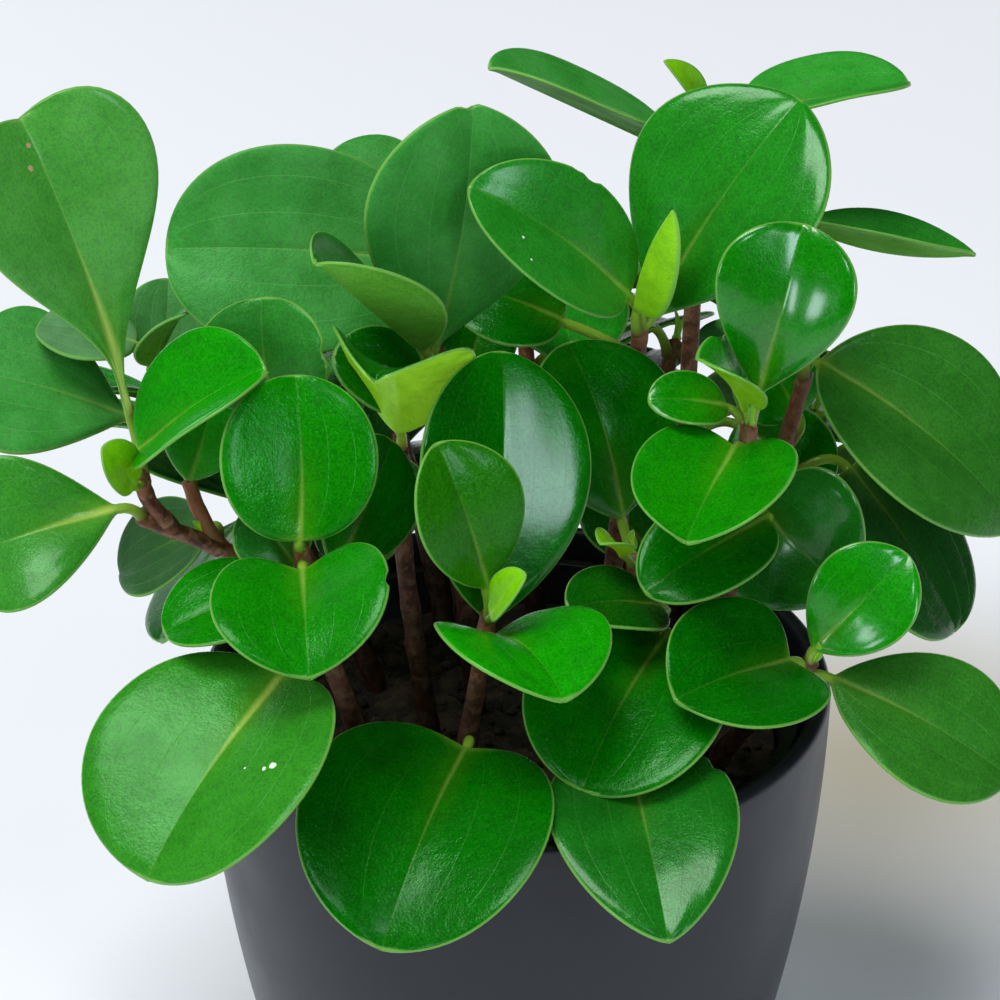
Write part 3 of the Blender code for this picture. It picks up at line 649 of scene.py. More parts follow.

# A leaf is: base, tip, width, the way its upper face looks, fold of each half in degrees, arch,
# outline, tone, and how much pale bloom, partly a painted sheen, lies on it
shoots = {
    "shoot_left": {
        "stem": [(-41, -8, 139), (-51, -8, 162), (-67, -9, 188), (-80, -10, 201)],
        "twigs": [
            [(-77, -10, 198), (-91, -15, 207), (-97, -19, 212)],
            [(-89, -14, 206), (-94, -18, 216), (-96, -21, 226)],
            [(-78, -10, 198), (-83, -9, 210), (-85, -8, 217)],
        ],
        "leaves": [
            ((-99, -12, 239), (-120, -17, 320), 54, (0.6, -0.8, 0.1), 14, 7, "spoon", "bright", 0.12),
            ((-95, -22, 232), (-62, -31, 260), 41, (-0.7, -0.3, 0.7), 26, 2, "round", "fresh", 0.0),
            ((-97, -26, 225), (-103, -34, 240), 13, (0, -0.6, 0.8), 12, 1, "round", "lime", 0.0),
            ((-102, -22, 216), (-143, -31, 206), 43, (0, -0.7, 0.7), 14, 5, "pear", "ribbed", 0.05),
            ((-82, 3, 197), (-107, 9, 180), 28, (-0.5, -0.5, 0.7), 9, 2, "round", "dark", 0.12),
            ((-85, -8, 217), (-78, 2, 240), 24, (0.3, -0.8, 0.5), 12, 2, "oval", "fresh", 0.02),
        ],
    },
    "shoot_back_left": {
        "stem": [(-39, 22, 139), (-53, 25, 170), (-75, 26, 205), (-91, 26, 228)],
        "leaves": [
            ((-103, 16, 223), (-147, 14, 238), 49, (0.3, -0.4, 0.8), 4, 3, "pear", "fresh", 0.14),
            ((-101, 25, 240), (-127, 27, 245), 29, (0.2, -0.1, 1), 4, 1, "round", "grown", 0.3),
            ((-95, 38, 228), (-94, 49, 249), 24, (0.1, -0.8, 0.6), 8, 3, "round", "grown", 0.2),
            ((-96, 21, 237), (-83, 11, 257), 20, (-0.3, 0.1, 1), 8, 3, "round", "fresh", 0.04),
        ],
    },
    "shoot_front_left": {
        "stem": [(-37, -32, 139), (-44, -37, 168), (-51, -42, 195), (-54, -45, 219)],
        "leaves": [
            ((-54, -48, 221), (-55, -30, 258), 40, (0.2, -0.9, 0.5), 10, 2, "round", "grown", 0.0),
            ((-53, -52, 214), (-50, -84, 203), 46, (-0.1, -0.5, 0.9), 16, 4, "heart", "grown", 0.0),
            ((-58, -44, 206), (-88, -54, 198), 29, (-0.2, -0.3, 0.9), 7, 2, "round", "grown", 0.0),
            ((-46, -38, 207), (-32, -12, 231), 31, (0.6, -0.7, 0.4), 5, 0, "oval", "deep", 0.0),
            ((-56, -37, 208), (-68, -30, 221), 21, (0, -0.7, 0.7), 8, 2, "round", "deep", 0.04),
            ((-58, -62, 190), (-89, -106, 160), 66, (-0.3, -0.4, 0.9), 14, 3, "broad", "ribbed", 0.03),
        ],
    },
    "shoot_tall_left": {
        "stem": [(-11, 8, 139), (-14, 9, 175), (-19, 8, 212), (-23, 4, 247)],
        "leaves": [
            ((-21, 4, 250), (-11, 4, 316), 53, (0.3, -0.9, 0), 8, 3, "paddle", "fresh", 0.12),
            ((-24, 0, 251), (-49, -25, 286), 42, (0.5, 0.4, 0.7), 30, 0, "egg", "turned", 0.05),
            ((-25, 3, 237), (-47, -1, 250), 24, (0, -0.6, 0.8), 8, 2, "round", "deep", 0.0),
        ],
    },
    "shoot_back_middle": {
        "stem": [(-13, 34, 139), (-17, 34, 180), (-21, 33, 225), (-23, 32, 262)],
        "leaves": [
            ((-26, 26, 264), (-91, 20, 270), 56, (0.1, -0.8, 0.6), 9, 4, "broad", "fresh", 0.14),
            ((-27, 42, 268), (-49, 54, 284), 30, (0, -0.3, 1), 8, 3, "round", "fresh", 0.14),
            ((-14, 37, 224), (-8, 52, 242), 23, (0.1, -0.8, 0.6), 9, 2, "round", "deep", 0.0),
        ],
    },
    "shoot_middle_left": {
        "stem": [(-23, -9, 139), (-27, -6, 168), (-30, -3, 200), (-30, -2, 229)],
        "leaves": [
            ((-61, -15, 241), (-64, -8, 269), 36, (-0.3, -0.9, 0.2), 9, 3, "broad", "grown", 0.06),
            ((-30, -12, 234), (-35, -41, 262), 42, (0.2, 0.6, 0.7), 30, 6, "pear", "cup", 0.0),
        ],
    },
    "shoot_front": {
        "stem": [(-13, -37, 139), (-13, -42, 156), (-10, -44, 178), (-7, -46, 200)],
        "leaves": [
            ((-13, -53, 163), (-33, -108, 141), 65, (0, -0.4, 0.9), 16, 7, "broad", "deep", 0.0),
            ((-6, -50, 194), (11, -84, 197), 44, (0.1, 0, 1), 14, 5, "heart", "fresh", 0.0),
            ((-7, -42, 195), (-4, -12, 256), 48, (0.4, -0.8, 0.4), 10, 3, "oval", "deep", 0.0),
            ((-8, -48, 208), (-20, -44, 246), 32, (0.5, -0.8, 0.3), 15, 3, "oval", "olive", 0.0),
            ((-6, -50, 201), (2, -56, 216), 12, (-0.8, -0.4, 0.4), 20, 1, "round", "lime", 0.0),
        ],
    },
    "shoot_middle": {
        "stem": [(29, -24, 139), (33, -25, 156), (34, -22, 178), (30, -15, 200)],
        "leaves": [
            ((38, -33, 184), (16, -75, 165), 52, (0, -0.4, 0.9), 12, 3, "broad", "deep", 0.0),
            ((28, -60, 165), (36, -113, 147), 48, (0, -0.3, 0.9), 8, 3, "egg", "deep", 0.02),
            ((37, -28, 190), (13, -42, 198), 26, (0, -0.3, 1), 10, 2, "round", "dark", 0.0),
            ((27, -22, 203), (21, -31, 211), 12, (0.4, 0.3, 0.8), 25, 1, "round", "lime", 0.0),
            ((27, -12, 208), (13, 6, 250), 45, (0.4, -0.6, 0.6), 12, 4, "oval", "deep", 0.0),
        ],
    },
    "shoot_tall_right": {
        "stem": [(23, 14, 139), (27, 20, 180), (31, 20, 222), (32, 9, 254)],
        "leaves": [
            ((28, 4, 264), (-12, -6, 298), 36, (0.4, -0.7, 0.6), 20, 4, "round", "grown", 0.04),
            ((35, 8, 256), (72, 23, 310), 57, (-0.4, -0.7, 0.6), 8, 6, "paddle", "grown", 0.02),
            ((31, 3, 261), (39, -7, 292), 17, (-0.6, 0.7, 0.4), 36, -2, "round", "lime", 0.0),
            ((12, 16, 251), (-16, 21, 258), 28, (0, -0.6, 0.8), 8, 3, "round", "deep", 0.0),
        ],
    },
    "shoot_top_right": {
        "stem": [(43, 36, 139), (46, 42, 190), (48, 47, 245), (50, 47, 294)],
        "leaves": [
            ((44, 56, 283), (-7, 47, 310), 46, (0.1, 0.1, 1), 17, 0, "round", "fresh", 0.12),
            ((48, 42, 301), (38, 38, 315), 10, (0.6, -0.5, 0.5), 28, 1, "egg", "lime", 0.0),
            ((61, 50, 296), (104, 58, 302), 39, (-0.1, 0, 1), 18, 0, "round", "fresh", 0.08),
            ((77, 39, 269), (121, 31, 264), 33, (0.1, 0.2, 1), 26, -3, "long", "turned", 0.05),
            ((61, 44, 207), (86, 28, 197), 28, (-0.2, -0.7, 0.6), 9, 2, "round", "deep", 0.0),
            ((37, 35, 172), (21, 48, 185), 23, (0.1, -0.7, 0.7), 9, 2, "round", "dark", 0.0),
        ],
    },
    "shoot_right": {
        "stem": [(49, -14, 139), (54, -17, 172), (56, -18, 205), (59, -18, 239)],
        "leaves": [
            ((61, -16, 246), (71, -8, 289), 36, (-0.1, -0.9, 0.4), 11, 4, "pear", "grown", 0.0),
            ((58, -14, 241), (45, -22, 259), 24, (0.6, 0, 0.8), 30, 2, "round", "flap", 0.0),
            ((55, -24, 234), (41, -60, 227), 43, (-0.1, -0.2, 1), 20, 0, "heart", "grown", 0.0),
            ((64, -20, 212), (32, -42, 203), 29, (0, -0.5, 0.9), 8, 3, "round", "deep", 0.0),
            ((64, -4, 208), (87, -17, 189), 42, (-0.2, -0.9, 0.4), 12, 4, "egg", "deep", 0.02),
            ((53, -12, 240), (33, -18, 245), 17, (0.1, -0.5, 0.85), 8, 2, "round", "grown", 0.0),
        ],
    },
    "shoot_far_right": {
        "stem": [(55, 14, 139), (61, 17, 168), (70, 20, 205), (77, 20, 236)],
        "leaves": [
            ((79, 12, 241), (133, 4, 196), 55, (0.4, -0.6, 0.7), 12, 8, "long", "olive", 0.04),
            ((90, 25, 203), (119, 5, 164), 50, (0.6, -0.4, 0.7), 4, 2, "broad", "dark", 0.03),
            ((76, 31, 217), (63, 35, 236), 26, (0, -0.8, 0.5), 8, 2, "round", "fresh", 0.0),
        ],
    },
    "shoot_front_right": {
        "stem": [(53, -22, 139), (57, -25, 148), (67, -33, 166), (76, -38, 181)],
        "leaves": [
            ((76, -38, 184), (99, -33, 209), 28, (-0.1, -0.8, 0.5), 10, 3, "oval", "fresh", 0.0),
            ((69, -43, 183), (39, -66, 186), 43, (0.2, -0.4, 0.9), 18, 1, "heart", "deep", 0.0),
            ((81, -38, 175), (126, -54, 155), 42, (0.2, -0.5, 0.8), 8, 4, "oval", "olive", 0.04),
        ],
    },
}

stemLook = {
    "radius": 3.0,
    "tipRadius": 2.1,
    "twigRadii": (2.4, 1.9),
    "sides": 6,
    "rings": 5,
    "around": 20,
    "rows": 72,
    "node": 15.0,  # from one ring to the next
    "swell": 0.26,
    "swellLength": 2.2,
    "knots": 0.30,
    "knotLength": 6.0,
    "slimmer": 0.95,  # the bark's share of the plain solid's radius
    "rounding": 0.015,  # share of the stem's length in which its top closes
    "footCover": 4.0,  # from the stem's lowest point to the hole's bottom
    "redness": 0.25,
    "twigRedness": (0.2, 0.2, 1.0),
}
leafLook = {
    "edge": 0.9,  # thickness at the rim
    "rib": 1.9,  # thickness along the midrib
    "rows": 7,
    "stalk": 1.6,
    "stalkSteps": (0.0, 0.5),
    "stalkShape": ((-0.87, 0.5), (0, 1), (0.87, 0.5), (0.87, -0.5), (0, -1), (-0.87, -0.5)),
    "stalkBend": 0.45,
    "tipHalf": 0.7,
    "ribTip": 0.55,  # half the thickness at the tip
}


def along(points, t):
    # point at t (0 to 1) on a smooth curve through the points
    spans = len(points) - 1
    place = min(max(t, 0.0), 1.0) * spans
    i = min(int(place), spans - 1)
    u = place - i
    b, c = points[i], points[i + 1]
    a = points[i - 1] if i else b * 2 - c
    d = points[i + 2] if i + 2 < len(points) else c * 2 - b
    squared, cubed = 2 * a - 5 * b + 4 * c - d, 3 * b - 3 * c + d - a
    return 0.5 * (2 * b + (c - a) * u + squared * u * u + cubed * u ** 3)


def lengthOf(points):
    return sum((q - p).length for p, q in zip(points, points[1:]))


def stemPlace(points, t, upright=False):
    # a stem's centre at t, and two directions across it
    step = 0.02
    forward = (along(points, t + step) - along(points, t - step)).normalized()
    if upright:
        forward = Vector((0, 0, 1))
    side = forward.cross(Vector((0, 1, 0.2))).normalized()
    return along(points, t), side, side.cross(forward)


def linesOf(shoot):
    return [[Vector(p) for p in line] for line in [shoot["stem"]] + shoot.get("twigs", [])]


searchSteps = 40  # places tried along a stem


def stalkFoot(base, lines):
    # where a leaf's stalk leaves the stem: the nearest place on it, then down by half that distance
    best = None
    for points in lines:
        length = lengthOf(points)
        for i in range(searchSteps + 1):
            t = i / searchSteps
            distance = (along(points, t) - base).length
            if best is None or distance < best[0]:
                best = (distance, points, t - 0.5 * distance / length)
    return along(best[1], max(best[2], 0.05))


class Blade:
    # a leaf's own directions and outline, from one row of the table
    def __init__(self, leaf, foot):
        base, tip, self.width, faces, fold, self.arch, outline = leaf[:7]
        self.base, self.foot = Vector(base), Vector(foot)
        self.widest, point, self.lobe, self.notch = outlines[outline]
        self.rise, self.fall = self.widest * point, (1 - self.widest) * point
        self.peak = self.widest ** self.rise * (1 - self.widest) ** self.fall
        reach = Vector(tip) - self.base
        self.length = reach.length
        self.axis = reach.normalized()
        self.side = self.axis.cross(Vector(faces)).normalized()
        self.normal = self.side.cross(self.axis)
        self.lean = math.radians(fold)
        self.middle = self.base - self.axis * (self.base - self.foot).length * leafLook["stalkBend"]

    def half(self, s):
        return self.width / 2 * (s ** self.rise * (1 - s) ** self.fall) / self.peak

    def ribHalf(self, s):
        return max(leafLook["rib"] / 2 * (1 - s) + leafLook["ribTip"] * s, leafLook["edge"] / 2)

    def rib(self, s):
        return self.base + self.axis * s * self.length + self.normal * self.arch * 4 * s * (1 - s)

    def slide(self, s, half):
        # how far the rim runs ahead of the midrib: back into lobes at the base, forward at a notched tip
        return 2 * self.notch * half * s ** 6 - self.lobe * half * (1 - s) ** 2

    def stalk(self, t):
        centre = self.foot * (1 - t) ** 2 + self.middle * 2 * t * (1 - t) + self.base * t * t
        forward = ((self.middle - self.foot) * (1 - t) + (self.base - self.middle) * t).normalized()
        across = (self.side - forward * self.side.dot(forward)).normalized()
        return centre, across, across.cross(forward)


# The shoots behind grow by rule: root, top, number of leaves. Each leaf is tried as a plain
# solid, as thick as the part's own
rearShoots = {
    "shoot_rear_left": ((-42, 36), (-84, 58, 200), 8),
    "shoot_rear_mid_left": ((-20, 52), (-42, 82, 214), 8),
    "shoot_rear_middle": ((6, 56), (2, 76, 238), 8),
    "shoot_rear_mid_right": ((28, 48), (46, 82, 216), 8),
    "shoot_rear_right": ((50, 34), (84, 60, 204), 8),
}
rearRule = {
    "seed": 5,
    "tries": 240,
    "lowestLeaf": 0.34,  # of the stem's height
    "spiral": 2.4,  # radians from one leaf to the next
    "reach": (11, 18),  # from the stem to a blade's base
    "blade": (44, 60),  # length low on the stem
    "shrink": 0.42,  # less of it on top
    "breadth": (0.82, 0.98),  # width against length
    "clear": 1.0,
    "sightSlope": 0.46,
    "sightMiddle": 292.0,
    "sightSides": 252.0,
    "sidesFrom": 82.0,
    "turn": (-0.7, 0.7),  # strays from the spiral
    "outwards": (0.5, 1.3),  # how much it leans away from the plant's middle
    "upright": 1.4,  # height at which it no longer would
    "climb": (-0.1, 0.3),
    "climbHigher": 0.6,  # more of it on top
    "largest": 1.15,
    "lift": 3.0,
    "droop": (-0.7, 0.1),
    "facesOut": (0.1, 0.8),
    "fold": (6, 18),
    "arch": (2, 5),
    "abovePot": (8.0, 6.0),  # a leaf keeps this far above the rim and outside it
    "lowest": 25.0,  # below the rim
    "rootRise": 4.0,
    "stemShape": ((0.30, 6.0), (0.65, 8.0)),  # share of the way up, and how far above a straight line
    "outlines": ("round", "broad", "oval", "pear", "heart"),
    "tones": (("dark", 0.02), ("deep", 0.06), ("grown", 0.14), ("fresh", 0.03)),  # from low to high
}


def stemRings(points, startRadius, endRadius, rooted=False):
    rings = []
    for i in range(-1 if rooted else 0, stemLook["rings"]):
        t = max(i, 0) / (stemLook["rings"] - 1)
        centre, side, other = stemPlace(points, t, rooted and i < 1)
        if i < 0:
            centre.z = soilLook["level"] - soilLook["holeDepth"] + nurseryLook["gap"]
        radius = startRadius + (endRadius - startRadius) * t
        angles = [math.tau * k / stemLook["sides"] for k in range(stemLook["sides"])]
        rings.append([centre + (side * math.cos(a) + other * math.sin(a)) * radius for a in angles])
    return rings


def leafRings(leaf, foot, spare=0.0):
    look, blade = leafLook, Blade(leaf, foot)
    rings = []
    for t in look["stalkSteps"]:
        centre, across, up = blade.stalk(t)
        radius = look["stalk"] + spare
        rings.append([centre + across * x * radius + up * y * radius for x, y in look["stalkShape"]])
    for i in range(look["rows"] + 1):
        s = (1 - math.cos(math.pi * i / look["rows"])) / 2
        half = max(blade.half(s), look["stalk"] if s < 0.5 else look["tipHalf"]) + spare
        rib = blade.rib(s)
        edge = rib + blade.axis * blade.slide(s, half) + blade.normal * half * math.sin(blade.lean)
        out = blade.side * half * math.cos(blade.lean)
        ribHalf = blade.normal * (blade.ribHalf(s) + spare)
        edgeHalf = blade.normal * (look["edge"] / 2 + spare)
        rings.append([edge - out + edgeHalf, rib + ribHalf, edge + out + edgeHalf,
                      edge + out - edgeHalf, rib - ribHalf, edge - out - edgeHalf])
    return rings


def trialTree(rings):
    # a solid through the rings, only to test for touching
    count = len(rings[0])
    points = [point * toMetres for ring in rings for point in ring]
    faces = [tuple(reversed(range(count))), tuple(len(points) - count + k for k in range(count))]
    for row in range(len(rings) - 1):
        low, high = row * count, (row + 1) * count
        for k in range(count):
            j = (k + 1) % count
            if k < count // 2:
                faces += [(low + k, low + j, high + j), (low + k, high + j, high + k)]
            else:
                faces += [(low + k, low + j, high + k), (low + j, high + j, high + k)]
    return BVHTree.FromPolygons(points, faces)


def ruleLeaf(rng, points, i, count):
    # up the stem in a spiral, leaning out, large and drooping below, small on top
    rule = rearRule
    height = rule["lowestLeaf"] + (1 - rule["lowestLeaf"]) * (i + 0.5) / count
    turn = i * rule["spiral"] + rng.uniform(*rule["turn"])
    start = along(points, height)
    outward = Vector((start.x, start.y, 0)).normalized()
    heading = Vector((math.cos(turn), math.sin(turn), 0))
    heading += outward * rng.uniform(*rule["outwards"]) * (rule["upright"] - height)
    heading.normalize()
    heading.z = rng.uniform(*rule["climb"]) + rule["climbHigher"] * (height - rule["lowestLeaf"])
    heading.normalize()
    size = rng.uniform(*rule["blade"]) * (rule["largest"] - rule["shrink"] * height)
    base = start + heading * rng.uniform(*rule["reach"]) + Vector((0, 0, rule["lift"]))
    droop = Vector((0, 0, rng.uniform(*rule["droop"])))
    tip = base + (heading + droop).normalized() * size
    faces = Vector((0, 0, 1)) + outward * rng.uniform(*rule["facesOut"])
    outline = rng.choice(rule["outlines"])
    width = size * rng.uniform(*rule["breadth"])
    return (base, tip, width, faces, rng.uniform(*rule["fold"]), rng.uniform(*rule["arch"]), outline)


def inView(point):
    rule = rearRule
    limit = rule["sightSides"] if abs(point.x) > rule["sidesFrom"] else rule["sightMiddle"]
    return point.z + rule["sightSlope"] * point.y > limit


def byThePot(point):
    above, outside = rearRule["abovePot"]
    return point.z < potLook["height"] + above and point.xy.length < potLook["rimRadius"] + outside


def fits(leaf, foot, others, own):
    rings = leafRings(leaf, foot, rearRule["clear"])
    if any(inView(point) or byThePot(point) for ring in rings[1:] for point in ring):
        return False
    if min(point.z for ring in rings for point in ring) < potLook["height"] - rearRule["lowest"]:
        return False
    tree = trialTree(rings)
    if any(tree.overlap(other) for other in others):
        return False
    tree = trialTree(rings[len(leafLook["stalkSteps"]):])
    return not any(tree.overlap(other) for other in own)


def rootedTree(points):
    return trialTree(stemRings(points, stemLook["radius"], stemLook["tipRadius"], rooted=True))


def growRearShoots():
    # adds the rear shoots to the table, each leaf drawn again until it is clear
    rule, placed = rearRule, []
    for shoot in shoots.values():
        lines = linesOf(shoot)
        placed.append(rootedTree(lines[0]))
        placed += [trialTree(stemRings(line, *stemLook["twigRadii"])) for line in lines[1:]]
        placed += [trialTree(leafRings(leaf, stalkFoot(Vector(leaf[0]), lines))) for leaf in shoot["leaves"]]
    stems = {}
    for name, (root, top, _) in rearShoots.items():
        foot = Vector((*root, soilLook["level"] + rule["rootRise"]))
        lean = Vector(top) - foot
        bends = [foot + lean * share + Vector((0, 0, rise)) for share, rise in rule["stemShape"]]
        stems[name] = [foot, *bends, Vector(top)]
    stemTrees = {name: rootedTree(points) for name, points in stems.items()}
    rng = random.Random(rule["seed"])
    for name, (_, _, count) in rearShoots.items():
        others = placed + [tree for other, tree in stemTrees.items() if other != name]
        leaves, own = [], []
        for i in range(count):
            for _ in range(rule["tries"]):
                leaf = ruleLeaf(rng, stems[name], i, count)
                foot = stalkFoot(leaf[0], [stems[name]])
                if fits(leaf, foot, others, own):
                    leaves.append(leaf + rule["tones"][i * len(rule["tones"]) // count])
                    own.append(trialTree(leafRings(leaf, foot)))
                    break
        placed += own
        shoots[name] = {"stem": stems[name], "leaves": leaves}


growRearShoots()
print("rear shoots placed")


# Fine leaves: a flat grid rolled into one closed skin, from inside the stem to the tip

skinLook = {
    "faces": (64, 9, 46),  # around, along the stalk and along the blade
    "fewFaces": (28, 5, 18),  # for a leaf below this width
    "smallWidth": 8.0,
    "swollenWidth": 45.0,  # a leaf of this width has its whole swellings
    "thickWidth": 26.0,  # and one of this width its whole thickness
    "leastStalk": 0.65,
    "leastRib": 0.55,
    "leastEdge": 0.7,
    "tints": (0.92, 1.08),
    "stalkRadius": 1.35,
    "stalkFlare": 0.7,
    "opening": 7.0,  # length over which the stalk becomes the blade
    "rimRound": 0.55,
    "crowding": 1.15,  # draws the faces towards the rim
    "slidePower": 1.25,
    "foldRound": 0.09,  # how soft the crease along the midrib is
    "ribSway": 1.1,  # how far the midrib strays sideways
    "puff": 0.55,  # how far a half bulges that is puffWidth wide
    "puffWidth": 25.0,
    "faceEdge": 0.5,  # width of the rim, which is neither face
    "curl": 0.6,  # how far the rim turns down
    "curlWidth": 3.6,
    "wave": 0.7,
    "waveScale": (2.2, 1.3),  # along and across
    "broadWave": 1.4,
    "ripple": 0.5,
    "rippleTurns": 1.15,
    "streak": 0.26,  # long low swellings that break up the shine
    "streakScale": (1.9, 3.4),
    "creases": (0.36, 0.70),  # soft valleys along each half
    "creaseDepth": 0.12,
    "creaseWidth": 0.09,
    "grooveAbove": (0.4, 0.9, 0.6),  # along the midrib: depth, width and how it fades to the tip
    "grooveBelow": (0.5, 1.3, 0.7),
}
# leaves whose fine form is closer to the real one than their plain solid: they take these rows instead
reshaped = {
    ("shoot_tall_left", 1):
        ((-24, 0, 251), (-49, -25, 286), 42, (0.5, 0.4, 0.7), 30, 0, "oval", "turned", 0.05),
    ("shoot_middle_left", 1):
        ((-30, -12, 234), (-35, -41, 262), 42, (0.2, 0.6, 0.7), 30, 8, "bowl", "cup", 0.0),
    ("shoot_tall_right", 2):
        ((31, 3, 261), (39, -7, 292), 21, (0.9, 0.1, 0.1), 38, -2, "egg", "lime", 0.0),
}
# What sets single leaves apart: cupped rather than folded along the midrib, flatter (what is left of the
# swellings), a wetter shine, and dents of the rim: along the blade, on which side, how wide, how deep
leafExtras = {
    ("shoot_left", 0): {"shine": 0.25, "dents": [(0.97, 0.12, 2.6, 2.0)]},
    ("shoot_left", 1): {"shine": 0.2},
    ("shoot_left", 3): {"shine": 0.15},
    ("shoot_front_left", 0): {"flat": 0.4},
    ("shoot_front_left", 1): {"cupped": 0.25, "dents": [(0.52, -1, 2.4, 1.6)]},
    ("shoot_tall_left", 0): {"dents": [(0.99, -0.4, 3.0, 1.2)]},
    ("shoot_tall_left", 1): {"cupped": 0.5},
    ("shoot_back_middle", 0): {"cupped": 0.8},
    ("shoot_middle_left", 0): {"dents": [(0.56, 1, 3.6, 1.2)]},
    ("shoot_middle_left", 1): {"cupped": 3.0, "dents": [(0.99, 0, 2.2, 1.8)]},
    ("shoot_front", 0): {"cupped": 0.3},
    ("shoot_front", 2): {"flat": 0.25, "shine": 0.55},
    ("shoot_middle", 0): {"cupped": 0.3},
    ("shoot_middle", 1): {"shine": 0.25, "dents": [(0.18, -1, 3.0, 1.5)]},
    ("shoot_middle", 4): {"flat": 0.5, "shine": 0.25},
    ("shoot_tall_right", 0): {
        "flat": 0.5, "shine": 0.25, "dents": [(0.52, 1, 3.4, 1.5), (0.59, 1, 2.4, 0.8)]},
    ("shoot_tall_right", 1): {"shine": 0.4},
    ("shoot_tall_right", 2): {"cupped": 1.5},
    ("shoot_top_right", 1): {"cupped": 0.5},
    ("shoot_right", 0): {"shine": 0.9},
    ("shoot_right", 1): {"shine": 0.6, "dents": [(0.80, 1, 3.6, 1.8), (0.85, -1, 15.0, -7.0)]},
    ("shoot_right", 2): {"cupped": 0.2},
    ("shoot_right", 4): {"shine": 0.5},
    ("shoot_right", 5): {"shine": 0.7},
    ("shoot_far_right", 1): {"shine": 0.4},
    ("shoot_front_right", 0): {"shine": 0.7},
    ("shoot_front_right", 2): {"dents": [(0.85, -1, 4.0, 0.8)]},
}


def ease(low, high, value):
    t = min(max((value - low) / (high - low), 0.0), 1.0)
    return t * t * (3 - 2 * t)


def rimBites(blade, dents):
    # the middle of each dent, the way it is pressed in, its width and its depth
    bites = []
    for s, sign, wide, deep in dents:
        half = blade.half(s)
        rim = blade.rib(s) + blade.axis * blade.slide(s, half) + blade.side * sign * half
        inwards = (blade.rib(0.5) - rim).normalized()
        bites.append((rim, inwards - blade.normal * inwards.dot(blade.normal), wide, deep))
    return bites


def skinRelief(s, v, sign, half, size, seed):
    # bulges, creases, waves and streaks, at s along and v across the blade
    look = skinLook
    relief = look["puff"] * size * 4 * (v - v * v) * half / look["puffWidth"]
    for crease in look["creases"]:
        nearness = math.exp(-((v - crease) / look["creaseWidth"]) ** 2)
        relief -= look["creaseDepth"] * size * nearness * math.sin(math.pi * s)
    wave, streak = look["waveScale"], look["streakScale"]
    broad = noise.noise(Vector((s * wave[0], sign * v * wave[1], seed)))
    ripple = math.sin(math.tau * (look["rippleTurns"] * s + seed) + sign)
    relief += look["wave"] * size * (broad * look["broadWave"] * v + look["ripple"] * ripple * v * v)
    long = noise.noise(Vector((s * streak[0], sign * v * streak[1], seed + 9)))
    return relief + look["streak"] * size * long * min(1, 4 * v)


